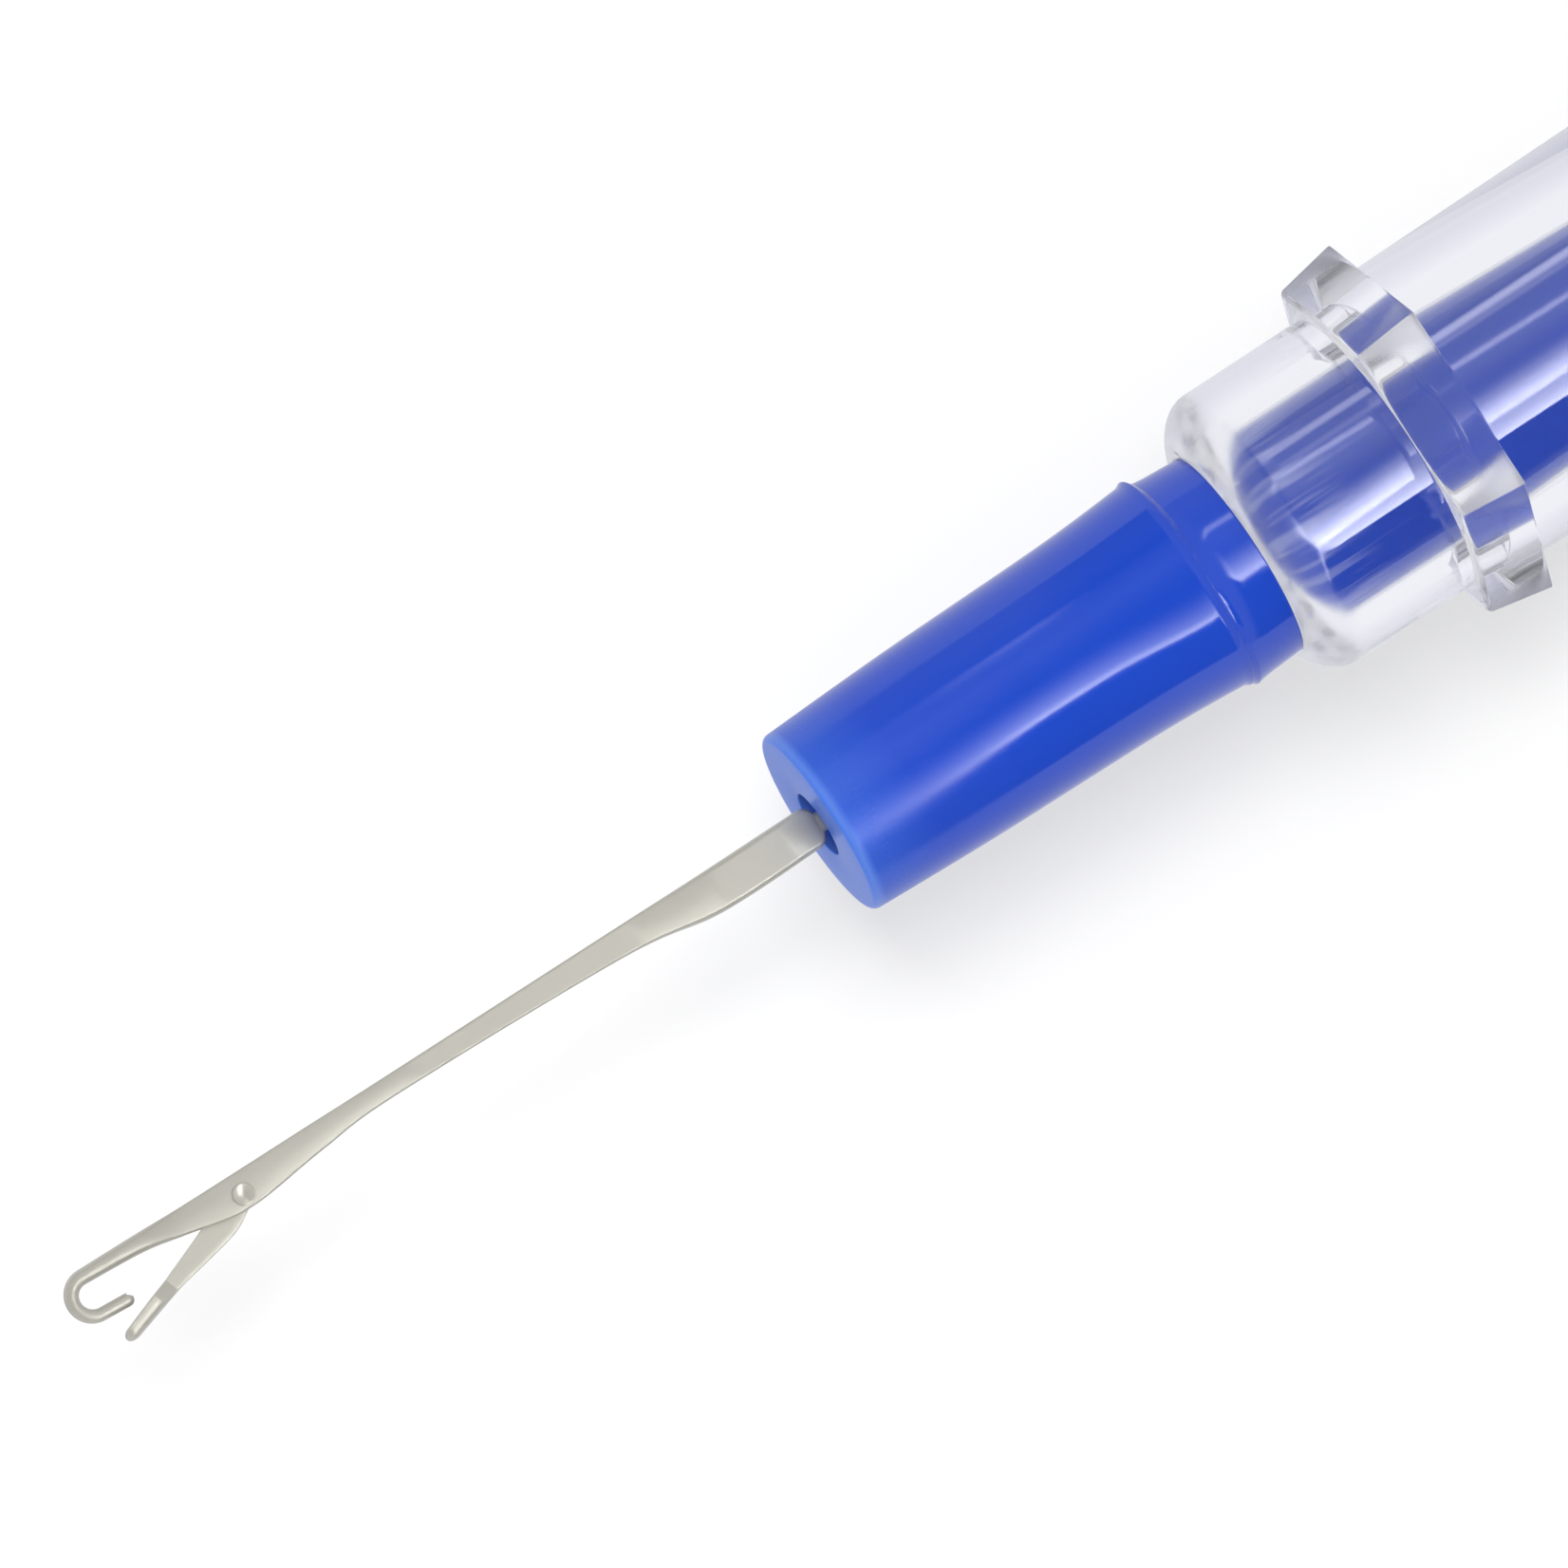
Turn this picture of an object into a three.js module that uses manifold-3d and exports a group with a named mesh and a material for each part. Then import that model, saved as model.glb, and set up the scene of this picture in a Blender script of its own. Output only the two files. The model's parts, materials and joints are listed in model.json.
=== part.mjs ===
// Knit picker: a hand tool about 140 mm long that mends dropped stitches and pulls loose yarn back
// through knitted cloth. A flat steel needle ends in an open hook, and a latch on a rivet swings over
// the hook's end and closes it. The needle is set in a blue plastic holder, and the holder's long core
// is pushed into a clear plastic handle whose six-sided collar keeps the tool from rolling away.
//
// Lengths are in millimetres and angles in degrees. The tool lies along X with its hook towards -X.
// The needle's broad sides face up and down, and the hook curls towards -Y. A reach is measured forward
// from the holder's front face, a depth back from it, and back and front are a needle edge's distances
// from the tool's axis, on the +Y side and towards the open side of the hook.

import * as THREE from "three";
import { mergeVertices, toCreasedNormals } from "three/addons/utils/BufferGeometryUtils.js";
import Module from "manifold-3d";

const wasm = await Module();
wasm.setup();

// Holder: nose, rim and neck
const faceDiameter = 8.05;
const faceRounding = 0.3;
const bellyDepth = 6;
const bellyDiameter = 8.48;
const flareDepth = 13.4;
const flareDiameter = 8.76;
const flareEndDiameter = 9.2;
const noseLength = 17.2;
const rimDiameter = 9.43;
const rimWidth = 0.5;
const neckFrontDiameter = 9.18;
const neckRearDiameter = 8.92;
const neckLength = 2.08;
const recessDiameter = 2.8;
const recessDepth = 1.2;
const neckFlatDepth = 0.08;
const neckFlatTilt = 4.5;

// Holder: the core inside the handle
const plugLength = 0.4;
const shoulderLength = 1.3;
const coreFrontDiameter = 8;
const coreMiddleDiameter = 7.9;
const coreMiddleLength = 8.5;
const coreRearDiameter = 4;
const coreRearLength = 50;
const coreEndRounding = 1;

// Handle
const mouthClearance = 0.05;
const boreClearance = 0.2;
const boreEndClearance = 2;
const lipLength = 1.75;
const lipStartAngle = 25;
const lipInnerRounding = 0.05;
const handleFrontDiameter = 12.4;
const handleFrontLength = 7.12;
const collarThickness = 2.74;
const collarFrontAcross = 15.1;
const collarRearAcross = 16;
const collarRounding = 0.3;
const gripFrontDiameter = 13.3;
const gripRearDiameter = 14.8;
const gripLength = 74.89;
const gripEndRounding = 2.5;

// Needle: shank and stem
const needleThickness = 1.1;
const shankInHolder = 13;
const shankClearance = 0.04;
const shankBack = 0.92;
const shankFront = -0.83;
const shankCorner = 0.25;
const shoulderReach = 5;
const stemReach = 9.2;
const stemBack = 0.96;
const stemFront = -0.19;
const stemCorner = 0.12;
const waistLength = 7.24;
const waistBack = 1.05;
const waistFront = 0.19;
const rivetToHook = 8.23;
const rivetOffset = 0.23;
const cheekBack = 1.14;
const cheekFront = -0.37;
const cheekRearLength = 3.6;
const cheekRearBack = 1.1;
const cheekRearFront = -0.02;
const throatLength = 2.55;
const throatBack = 1.18;
const throatFront = 0.11;
const throatThickness = 1;
const wireStartLength = 4.4;
const wireStartBack = 1.25;
const wireStartFront = 0.47;
const wireStartThickness = 0.78;

// Needle: hook
const hookReach = 35.27;
const hookBack = 1.31;
const hookWire = 0.64;
const hookBendRadius = 0.82;
const hookTipWire = 0.55;
const hookTipLength = 1.4;
const hookTipSlope = 4;

// Latch and rivet
const latchThickness = 0.35;
const latchSideGap = 0.05;
const latchSlotGap = 0.06;
const latchTailRadius = 0.5;
const latchBulge = 0.69;
const latchBulgeLength = 1.25;
const latchBladeFront = 0.49;
const latchBladeFrontLength = 3;
const latchEdge = 0.04;
const latchRim = 0.36;
const latchPastHook = 1.07;
const latchHookGap = 0.04;
const latchRestOpening = 6.8;
const latchSwing = 150;
const spoonLength = 2.75;
const spoonFlareLength = 1.1;
const spoonWidth = 1.1;
const spoonRootDepth = 0.64;
const spoonTipDepth = 0.5;
const spoonTipWidth = 0.86;
const cupDepth = 0.3;
const cupWidth = 0.72;
const cupEndWall = 0.2;
const cupLength = 2.1;
const rivetDiameter = 0.5;
const rivetHoleGap = 0.02;
const latchHoleGap = 0.04;
const rivetHeadDiameter = 0.9;
const rivetHeadHeight = 0.2;
const rivetSeatGap = 0.02;

// How finely curves are cut
const roundSteps = 60;
const smallRoundSteps = 24;
const collarSides = 6;
const roundingSteps = 5;
const ringCornerSteps = 4;
const stationSteps = 4;
const bendSteps = 14;
const tipSteps = 4;
const tipEndShare = 0.09;
const noseSteps = 12;
const sameCorner = 1e-5;

const degree = Math.PI / 180;
const point = (x, y) => new THREE.Vector2(x, y);
const turned = (length, angle) => point(length * Math.cos(angle), length * Math.sin(angle));

// Places along the tool
const rimDepth = noseLength + rimWidth;
const mouthDepth = rimDepth + neckLength;
const plugDepth = mouthDepth + plugLength;
const coreDepth = plugDepth + shoulderLength;
const coreMiddleDepth = coreDepth + coreMiddleLength;
const coreRearDepth = coreMiddleDepth + coreRearLength;
const collarDepth = mouthDepth + handleFrontLength;
const gripDepth = collarDepth + collarThickness;
const handleEndDepth = gripDepth + gripLength;
const rivetReach = hookReach - rivetToHook;
const rivet = point(-rivetReach, rivetOffset);

// A closed mesh as a solid that can be cut and joined
function solid(geometry) {
  const bare = geometry.clone();
  bare.deleteAttribute("normal");
  bare.deleteAttribute("uv");
  const merged = mergeVertices(bare, sameCorner);
  const corners = merged.index.array;
  const triangles = [];
  for (let i = 0; i < corners.length; i += 3) {
    const [a, b, c] = corners.slice(i, i + 3);
    if (a !== b && b !== c && c !== a) triangles.push(a, b, c);
  }
  const vertProperties = new Float32Array(merged.attributes.position.array);
  const triVerts = new Uint32Array(triangles);
  return new wasm.Manifold(new wasm.Mesh({ numProp: 3, vertProperties, triVerts }));
}

// A solid as a drawable mesh, with sharp edges kept and round stretches shaded smooth
function surface(shape) {
  const { vertProperties, triVerts } = shape.getMesh();
  const geometry = new THREE.BufferGeometry();
  geometry.setAttribute("position", new THREE.BufferAttribute(new Float32Array(vertProperties), 3));
  geometry.setIndex(new THREE.BufferAttribute(new Uint32Array(triVerts), 1));
  const smoothBelow = 30 * degree;
  return toCreasedNormals(geometry, smoothBelow);
}

// A profile of (depth, radius) points turned about the tool's axis
function turnedAboutAxis(profile, steps, startAngle = 0) {
  const outline = profile.map((p) => point(p.y, p.x));
  return new THREE.LatheGeometry(outline, steps, startAngle).rotateZ(-Math.PI / 2);
}

// Points on an arc about a centre, from one angle to another
function arc(centre, radius, from, to, steps = roundingSteps) {
  const at = (step) => from + ((to - from) * step) / steps;
  return Array.from({ length: steps + 1 }, (_, step) => turned(radius, at(step)).add(centre));
}

// A bar whose section changes along its run in the XY plane. Each station gives the centre, the heading
// of the run, the half height across it, the half thickness along Z, and the rounding of the corners.
function loftedBar(stations) {
  const ringSize = 4 * ringCornerSteps;
  const positions = [];
  for (const { centre, heading, halfHeight, halfThickness, corner } of stations) {
    const rounding = Math.min(corner, halfHeight, halfThickness);
    const across = turned(1, heading + Math.PI / 2);
    for (let i = 0; i < ringSize; i++) {
      const angle = ((i + 0.5) / ringSize) * 2 * Math.PI;
      const side = Math.sign(Math.cos(angle)) * (halfHeight - rounding) + rounding * Math.cos(angle);
      const up = Math.sign(Math.sin(angle)) * (halfThickness - rounding) + rounding * Math.sin(angle);
      positions.push(centre.x + side * across.x, centre.y + side * across.y, up);
    }
  }
  const first = stations[0].centre;
  const last = stations[stations.length - 1].centre;
  const firstCentre = stations.length * ringSize;
  positions.push(first.x, first.y, 0, last.x, last.y, 0);
  const triangles = [];
  for (let i = 0; i < ringSize; i++) {
    const next = (i + 1) % ringSize;
    for (let ring = 0; ring < stations.length - 1; ring++) {
      const here = ring * ringSize;
      const beyond = here + ringSize;
      triangles.push(here + i, here + next, beyond + i, here + next, beyond + next, beyond + i);
    }
    const lastRing = (stations.length - 1) * ringSize;
    triangles.push(firstCentre, next, i, firstCentre + 1, lastRing + i, lastRing + next);
  }
  const geometry = new THREE.BufferGeometry();
  geometry.setAttribute("position", new THREE.BufferAttribute(new Float32Array(positions), 3));
  geometry.setIndex(triangles);
  return geometry;
}

// The stations that round off the end of a bar. The last one keeps a share of the end as a small flat.
function roundedEnd(station, length) {
  return Array.from({ length: tipSteps }, (_, step) => {
    const angle = ((step + 1) / tipSteps) * (1 - tipEndShare) * 90 * degree;
    const shrink = Math.cos(angle);
    return {
      centre: turned(length * Math.sin(angle), station.heading).add(station.centre),
      heading: station.heading,
      halfHeight: station.halfHeight * shrink,
      halfThickness: station.halfThickness * shrink,
      corner: station.corner,
    };
  });
}

// A flat outline in the XY plane given a thickness along Z, centred on the needle's middle plane
function plate(outline, thickness, edge = 0) {
  const settings = {
    depth: thickness - 2 * edge,
    bevelEnabled: edge > 0,
    bevelThickness: edge,
    bevelSize: edge,
    bevelOffset: -edge,
    bevelSegments: 1,
    curveSegments: smallRoundSteps,
  };
  return new THREE.ExtrudeGeometry(outline, settings).translate(0, 0, edge - thickness / 2);
}

// A round pin along Z, for the holes on the rivet's axis
function pinAlongZ(centre, radius, length) {
  const pin = new THREE.CylinderGeometry(radius, radius, length, smallRoundSteps);
  return pin.rotateX(Math.PI / 2).translate(centre.x, centre.y, 0);
}

// The hook's bend and tip
const bendOutside = hookBendRadius + hookWire / 2;
const bendCentre = point(bendOutside - hookReach, hookBack - bendOutside);
const bendStart = 90 * degree;
const bendEnd = (270 - hookTipSlope) * degree;
const tipHeading = bendEnd + 90 * degree;
const tipStart = turned(hookBendRadius, bendEnd).add(bendCentre);
const tipBodyEnd = turned(hookTipLength - hookTipWire / 2, tipHeading).add(tipStart);
const hookInner = hookBack - hookWire;

// Where the latch points: along the closed hook, as it lies at rest, and fully open
const tipOutside = turned(hookTipWire / 2, tipHeading - Math.PI / 2).add(tipBodyEnd).sub(rivet);
const cupFloor = latchRim - cupDepth;
const closedHeading = tipOutside.angle() + Math.asin((cupFloor + latchHookGap) / tipOutside.length());
const restHeading = closedHeading + latchRestOpening * degree;
const openHeading = closedHeading + latchSwing * degree;
const latchLength = tipOutside.length() + latchPastHook;

// The needle's edges and thickness at the named places, from the shank to the root of the hook
const needlePlaces = [
  [-shankInHolder, shankBack, shankFront, needleThickness, shankCorner],
  [0, shankBack, shankFront, needleThickness, shankCorner],
  [shoulderReach, shankBack, shankFront, needleThickness, shankCorner],
  [stemReach, stemBack, stemFront, needleThickness, stemCorner],
  [rivetReach - waistLength, waistBack, waistFront, needleThickness, stemCorner],
  [rivetReach - cheekRearLength, cheekRearBack, cheekRearFront, needleThickness, stemCorner],
  [rivetReach, cheekBack, cheekFront, needleThickness, stemCorner],
  [rivetReach + throatLength, throatBack, throatFront, throatThickness, stemCorner],
  [rivetReach + wireStartLength, wireStartBack, wireStartFront, wireStartThickness, hookWire / 2],
  [-bendCentre.x, hookBack, hookInner, hookWire, hookWire / 2],
];

function needleStations() {
  const [back, front, thickness, corner] = [1, 2, 3, 4].map(
    (value) => new THREE.SplineCurve(needlePlaces.map((place) => point(-place[0], place[value]))),
  );
  const count = (needlePlaces.length - 1) * stationSteps;
  const stem = Array.from({ length: count + 1 }, (_, step) => {
    const along = step / count;
    const upper = back.getPoint(along);
    const lower = front.getPoint(along);
    return {
      centre: point(upper.x, (upper.y + lower.y) / 2),
      heading: Math.PI,
      halfHeight: (upper.y - lower.y) / 2,
      halfThickness: thickness.getPoint(along).y / 2,
      corner: corner.getPoint(along).y,
    };
  });
  const wireStation = (centre, heading, along) => {
    const half = THREE.MathUtils.lerp(hookWire, hookTipWire, along) / 2;
    return { centre, heading, halfHeight: half, halfThickness: half, corner: half };
  };
  const bend = arc(bendCentre, hookBendRadius, bendStart, bendEnd, bendSteps).map((centre, step) => {
    const along = step / bendSteps;
    return wireStation(centre, bendStart + (bendEnd - bendStart) * along + 90 * degree, along);
  });
  const tip = wireStation(tipBodyEnd, tipHeading, 1);
  return [...stem, ...bend.slice(1), tip, ...roundedEnd(tip, hookTipWire / 2)];
}

// The slot in which the latch turns. It is round about the rivet and open to the stem's front edge, from
// the hook's side of the closed latch to the bulge on the other side of the fully open one.
function latchSlot() {
  const slotRadius = latchTailRadius + latchSlotGap;
  const pastStem = wireStartLength;
  const bulge = point(latchBulgeLength, latchBulge + latchSlotGap);
  const openBulge = openHeading - 2 * Math.PI + bulge.angle();
  const tangent = openBulge + Math.acos(slotRadius / bulge.length());
  const closedSide = closedHeading - 0.5 * Math.PI;
  const round = arc(rivet, slotRadius, tangent, closedSide);
  const bulgeCorner = turned(bulge.length(), openBulge).add(rivet);
  const outline = new THREE.Shape([
    turned(pastStem, openHeading).add(bulgeCorner),
    bulgeCorner,
    ...round,
    turned(pastStem, closedHeading).add(round[round.length - 1]),
    point(rivet.x, rivet.y - pastStem),
  ]);
  return plate(outline, latchThickness + 2 * latchSideGap);
}

function needleShape() {
  const rivetHole = pinAlongZ(rivet, rivetDiameter / 2 + rivetHoleGap, 2 * needleThickness);
  return solid(loftedBar(needleStations())).subtract(solid(latchSlot())).subtract(solid(rivetHole));
}

// The latch, made about its own pivot and pointing along +X, with the hook on its -Y side
function latchShape() {
  const spoonStart = latchLength - spoonLength;
  const bladeEnd = spoonStart + spoonFlareLength / 2;
  const spoonBack = spoonRootDepth - latchRim;
  const tail = arc(point(0, 0), latchTailRadius, 90 * degree, 270 * degree, smallRoundSteps / 2);
  const frontEdge = new THREE.SplineCurve([
    point(bladeEnd, spoonBack),
    point(latchBladeFrontLength, latchBladeFront),
    point(latchBulgeLength, latchBulge),
    tail[0],
  ]);
  const frontPoints = frontEdge.getPoints(smallRoundSteps).slice(0, -1);
  const blade = new THREE.Shape([...tail, point(bladeEnd, -latchRim), ...frontPoints]);
  const spoonStation = (along, halfThickness, corner = spoonRootDepth / 2) => {
    const alongSpoon = (along - spoonStart) / spoonLength;
    const depth = THREE.MathUtils.lerp(spoonRootDepth, spoonTipDepth, alongSpoon);
    const centre = point(along, depth / 2 - latchRim);
    return { centre, heading: 0, halfHeight: depth / 2, halfThickness, corner };
  };
  const tipRound = spoonTipWidth / 2;
  const tip = spoonStation(latchLength - tipRound, tipRound);
  const spoon = [
    spoonStation(spoonStart, latchThickness / 2, latchEdge),
    spoonStation(spoonStart + spoonFlareLength / 2, (latchThickness + spoonWidth) / 4),
    spoonStation(spoonStart + spoonFlareLength, spoonWidth / 2),
    spoonStation((spoonStart + spoonFlareLength + tip.centre.x) / 2, spoonWidth / 2),
    tip,
    ...roundedEnd(tip, tipRound),
  ];
  const cup = new THREE.SphereGeometry(0.5, smallRoundSteps, smallRoundSteps / 2);
  cup.scale(cupLength, 2 * cupDepth, cupWidth);
  cup.translate(latchLength - cupEndWall - cupLength / 2, -latchRim, 0);
  const hole = pinAlongZ(point(0, 0), rivetDiameter / 2 + latchHoleGap, 2 * latchThickness);
  return solid(plate(blade, latchThickness, latchEdge))
    .add(solid(loftedBar(spoon)))
    .subtract(solid(cup))
    .subtract(solid(hole));
}

// The rivet: a pin along Z with a domed head on each cheek
function rivetShape() {
  const seat = needleThickness / 2 + rivetSeatGap;
  const headRadius = rivetHeadDiameter / 2;
  const domeRadius = (headRadius ** 2 + rivetHeadHeight ** 2) / (2 * rivetHeadHeight);
  const domeCentre = point(0, seat + rivetHeadHeight - domeRadius);
  const domeEdge = Math.asin((domeRadius - rivetHeadHeight) / domeRadius);
  const upper = arc(domeCentre, domeRadius, domeEdge, 90 * degree);
  const lower = upper.map((p) => point(p.x, -p.y)).reverse();
  const pinRadius = rivetDiameter / 2;
  const profile = [...lower, point(pinRadius, -seat), point(pinRadius, seat), ...upper];
  profile[0].x = 0;
  profile[profile.length - 1].x = 0;
  return new THREE.LatheGeometry(profile, smallRoundSteps).rotateX(Math.PI / 2);
}

// The holder is turned, then cut for the needle's shank and for the flats on its neck
function holderShape() {
  const noseEdge = point(faceRounding, faceDiameter / 2 - faceRounding);
  const noseSide = new THREE.SplineCurve([
    point(faceRounding, faceDiameter / 2),
    point(bellyDepth, bellyDiameter / 2),
    point(flareDepth, flareDiameter / 2),
    point(noseLength, flareEndDiameter / 2),
  ]);
  const rimPeak = point(noseLength + rimWidth / 2, rimDiameter / 2);
  const endRound = Math.min(coreEndRounding, coreRearDiameter / 2);
  const endCentre = point(coreRearDepth - endRound, coreRearDiameter / 2 - endRound);
  const profile = [
    point(recessDepth, 0),
    point(recessDepth, recessDiameter / 2),
    point(0, recessDiameter / 2),
    ...arc(noseEdge, faceRounding, 180 * degree, 90 * degree),
    ...noseSide.getPoints(noseSteps).slice(1),
    rimPeak,
    point(rimDepth, neckFrontDiameter / 2),
    point(mouthDepth, neckRearDiameter / 2),
    point(plugDepth, neckRearDiameter / 2),
    point(coreDepth, coreFrontDiameter / 2),
    point(coreMiddleDepth, coreMiddleDiameter / 2),
    ...arc(endCentre, endRound, 90 * degree, 0),
    point(coreRearDepth, 0),
  ];
  const grip = 2 * shankClearance;
  const pastFace = faceRounding;
  const shankHole = [-pastFace, shankInHolder + shankClearance].map((depth) => ({
    centre: point(depth, (shankBack + shankFront) / 2),
    heading: 0,
    halfHeight: (shankBack - shankFront + grip) / 2,
    halfThickness: (needleThickness + grip) / 2,
    corner: shankCorner,
  }));
  let shape = solid(turnedAboutAxis(profile, roundSteps)).subtract(solid(loftedBar(shankHole)));
  const flatLength = coreDepth - rimDepth;
  for (const side of [1, -1]) {
    const cutter = new THREE.BoxGeometry(flatLength, neckRearDiameter, neckRearDiameter);
    cutter.translate(flatLength / 2, 0, neckRearDiameter / 2);
    cutter.rotateY(neckFlatTilt * degree);
    cutter.translate(rimDepth, 0, neckFrontDiameter / 2 - neckFlatDepth);
    if (side < 0) cutter.rotateX(Math.PI);
    shape = shape.subtract(solid(cutter));
  }
  return shape;
}

// The handle is one turned shell, closed at its rear, with the six-sided collar joined on. Its front lip is
// part of an ellipse that leaves the mouth's edge at a slant and ends flush with the front cylinder.
function handleShape() {
  const mouthRadius = neckRearDiameter / 2 + mouthClearance;
  const frontRadius = handleFrontDiameter / 2;
  const lipStart = lipStartAngle * degree;
  const lipHeight = (frontRadius - mouthRadius - lipInnerRounding) / (1 - Math.sin(lipStart));
  const lip = arc(point(0, 0), 1, lipStart, 90 * degree, 2 * roundingSteps).map((p) =>
    point(mouthDepth + lipLength * (1 - p.x / Math.cos(lipStart)), frontRadius - lipHeight * (1 - p.y)),
  );
  const lipInner = point(mouthDepth + lipInnerRounding, mouthRadius + lipInnerRounding);
  const rearRadius = gripRearDiameter / 2;
  const rearRound = point(handleEndDepth - gripEndRounding, rearRadius - gripEndRounding);
  const boreEndDepth = coreRearDepth + boreEndClearance;
  const boreEndRadius = coreRearDiameter / 2 + boreClearance;
  const boreEndRound = Math.min(coreEndRounding, boreEndRadius);
  const boreEnd = point(boreEndDepth - boreEndRound, boreEndRadius - boreEndRound);
  const profile = [
    point(boreEndDepth, 0),
    ...arc(boreEnd, boreEndRound, 0, 90 * degree),
    point(coreMiddleDepth, coreMiddleDiameter / 2 + boreClearance),
    point(coreDepth + boreClearance, coreFrontDiameter / 2 + boreClearance),
    point(plugDepth + boreClearance, mouthRadius),
    ...arc(lipInner, lipInnerRounding, 270 * degree, 180 * degree),
    ...lip,
    point(gripDepth - collarThickness / 2, frontRadius),
    point(gripDepth - collarThickness / 2, gripFrontDiameter / 2),
    ...arc(rearRound, gripEndRounding, 90 * degree, 0),
    point(handleEndDepth, 0),
  ];
  const insideWall = (frontRadius + mouthRadius) / 2;
  const frontCorner = collarFrontAcross / 2;
  const frontEdge = point(collarDepth + collarRounding, frontCorner - collarRounding);
  const collar = [
    point(collarDepth, insideWall),
    ...arc(frontEdge, collarRounding, 180 * degree, 90 * degree),
    point(gripDepth, collarRearAcross / 2),
    point(gripDepth, insideWall),
    point(collarDepth, insideWall),
  ];
  const shell = solid(turnedAboutAxis(profile, roundSteps));
  return shell.add(solid(turnedAboutAxis(collar, collarSides, Math.PI / collarSides)));
}

// Materials, each made for its own piece
const steel = (color) => new THREE.MeshStandardMaterial({ color, roughness: 0.32, metalness: 1 });
const bluePlastic = new THREE.MeshStandardMaterial({ color: 0x2f50c8, roughness: 0.18, metalness: 0 });
const clearPlastic = new THREE.MeshStandardMaterial({
  color: 0xe9ebf5,
  roughness: 0.06,
  metalness: 0,
  transparent: true,
  opacity: 0.35,
});

function piece(name, geometry, material) {
  const mesh = new THREE.Mesh(geometry, material);
  mesh.name = name;
  return mesh;
}

const handle = piece("clear_handle", surface(handleShape()), clearPlastic);
const holder = piece("needle_holder", surface(holderShape()), bluePlastic);
const needle = piece("hook_needle", surface(needleShape()), steel(0xbab7aa));
const latch = piece("latch", surface(latchShape()), steel(0xbcb9ac));
latch.position.set(rivet.x, rivet.y, 0);
latch.rotation.z = restHeading;
const latchRivet = piece("latch_rivet", surface(solid(rivetShape())), steel(0xc4c1b6));
latchRivet.position.set(rivet.x, rivet.y, 0);

// The origin is under the middle of the tool, at the height of the surface that it lies on
const knitPicker = new THREE.Group();
knitPicker.add(handle, holder, needle, latch, latchRivet);
const collarFlatHeight = (collarRearAcross / 2) * Math.cos(Math.PI / collarSides);
const restHeight = Math.max(gripRearDiameter / 2, collarFlatHeight);
knitPicker.position.set((hookReach - handleEndDepth) / 2, 0, restHeight);
knitPicker.updateMatrixWorld(true);

export default knitPicker;
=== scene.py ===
"""The looks of a knit picker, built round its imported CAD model: a steel latch needle in a blue plastic
holder, inside a clear plastic handle with a six-sided collar. The tool lies along X, with the hook at -X and
its open side to -Y. A depth is measured back from the holder's front face, and a reach forward from it."""

import json
import math
from collections import namedtuple

import bmesh
import bpy
from bpy.props import FloatProperty, FloatVectorProperty, PointerProperty
from mathutils import Matrix, Vector


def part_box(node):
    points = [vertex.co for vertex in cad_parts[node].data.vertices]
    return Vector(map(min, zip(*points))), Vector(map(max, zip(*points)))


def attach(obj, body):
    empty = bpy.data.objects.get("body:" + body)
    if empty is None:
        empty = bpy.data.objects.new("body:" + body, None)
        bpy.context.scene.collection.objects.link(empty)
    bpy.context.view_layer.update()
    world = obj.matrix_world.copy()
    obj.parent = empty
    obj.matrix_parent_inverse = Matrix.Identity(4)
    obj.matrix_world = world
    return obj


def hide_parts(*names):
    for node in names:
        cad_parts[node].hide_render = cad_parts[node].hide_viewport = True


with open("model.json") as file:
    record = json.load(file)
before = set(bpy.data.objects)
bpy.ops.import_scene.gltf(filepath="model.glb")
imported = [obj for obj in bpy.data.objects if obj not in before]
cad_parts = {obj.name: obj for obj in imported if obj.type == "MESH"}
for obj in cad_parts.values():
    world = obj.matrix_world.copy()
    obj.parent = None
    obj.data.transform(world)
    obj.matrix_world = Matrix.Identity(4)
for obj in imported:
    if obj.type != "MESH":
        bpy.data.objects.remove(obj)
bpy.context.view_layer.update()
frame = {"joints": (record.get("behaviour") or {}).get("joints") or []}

bl_info = {
    "name": "Knit Picker",
    "version": (1, 0, 0),
    "blender": (4, 5, 0),
    "location": "View3D > Sidebar > Knit Picker",
    "description": "Builds the finished surfaces of a knit picker round its frame",
    "category": "Add Mesh",
}

# Places that the frame gives
MM = 0.001
HOLDER_LOW, HOLDER_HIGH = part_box("needle_holder")
HANDLE_LOW, HANDLE_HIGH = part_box("clear_handle")
NEEDLE_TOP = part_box("hook_needle")[1].z
FACE_X = HOLDER_LOW.x
AXIS_Z = (HOLDER_LOW.z + HOLDER_HIGH.z) / 2
MOUTH_DEPTH = HANDLE_LOW.x - FACE_X
HANDLE_END_DEPTH = HANDLE_HIGH.x - FACE_X
CORE_END_DEPTH = HOLDER_HIGH.x - FACE_X
PIVOT = Vector(frame["joints"][0]["pos_m"])


def length(description, millimetres):
    """A size that the user can change, given in millimetres and kept in metres."""
    return FloatProperty(description=description, default=millimetres * MM, unit="LENGTH", precision=6)


def colour(description, *default):
    """A colour that the user can change."""
    return FloatVectorProperty(description=description, default=default, subtype="COLOR", min=0, max=1)


def turn(description, degrees):
    """An angle that the user can change, given in degrees and kept in radians."""
    return FloatProperty(description=description, default=math.radians(degrees), subtype="ANGLE")


def share(description, default):
    """A number without a unit that the user can change."""
    return FloatProperty(description=description, default=default, precision=4)


def name_properties(group):
    """Names each property of a group after its key, as Belly depth for belly_depth."""
    for key, made in group.__annotations__.items():
        made.keywords["name"] = key.replace("_", " ").capitalize()


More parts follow.
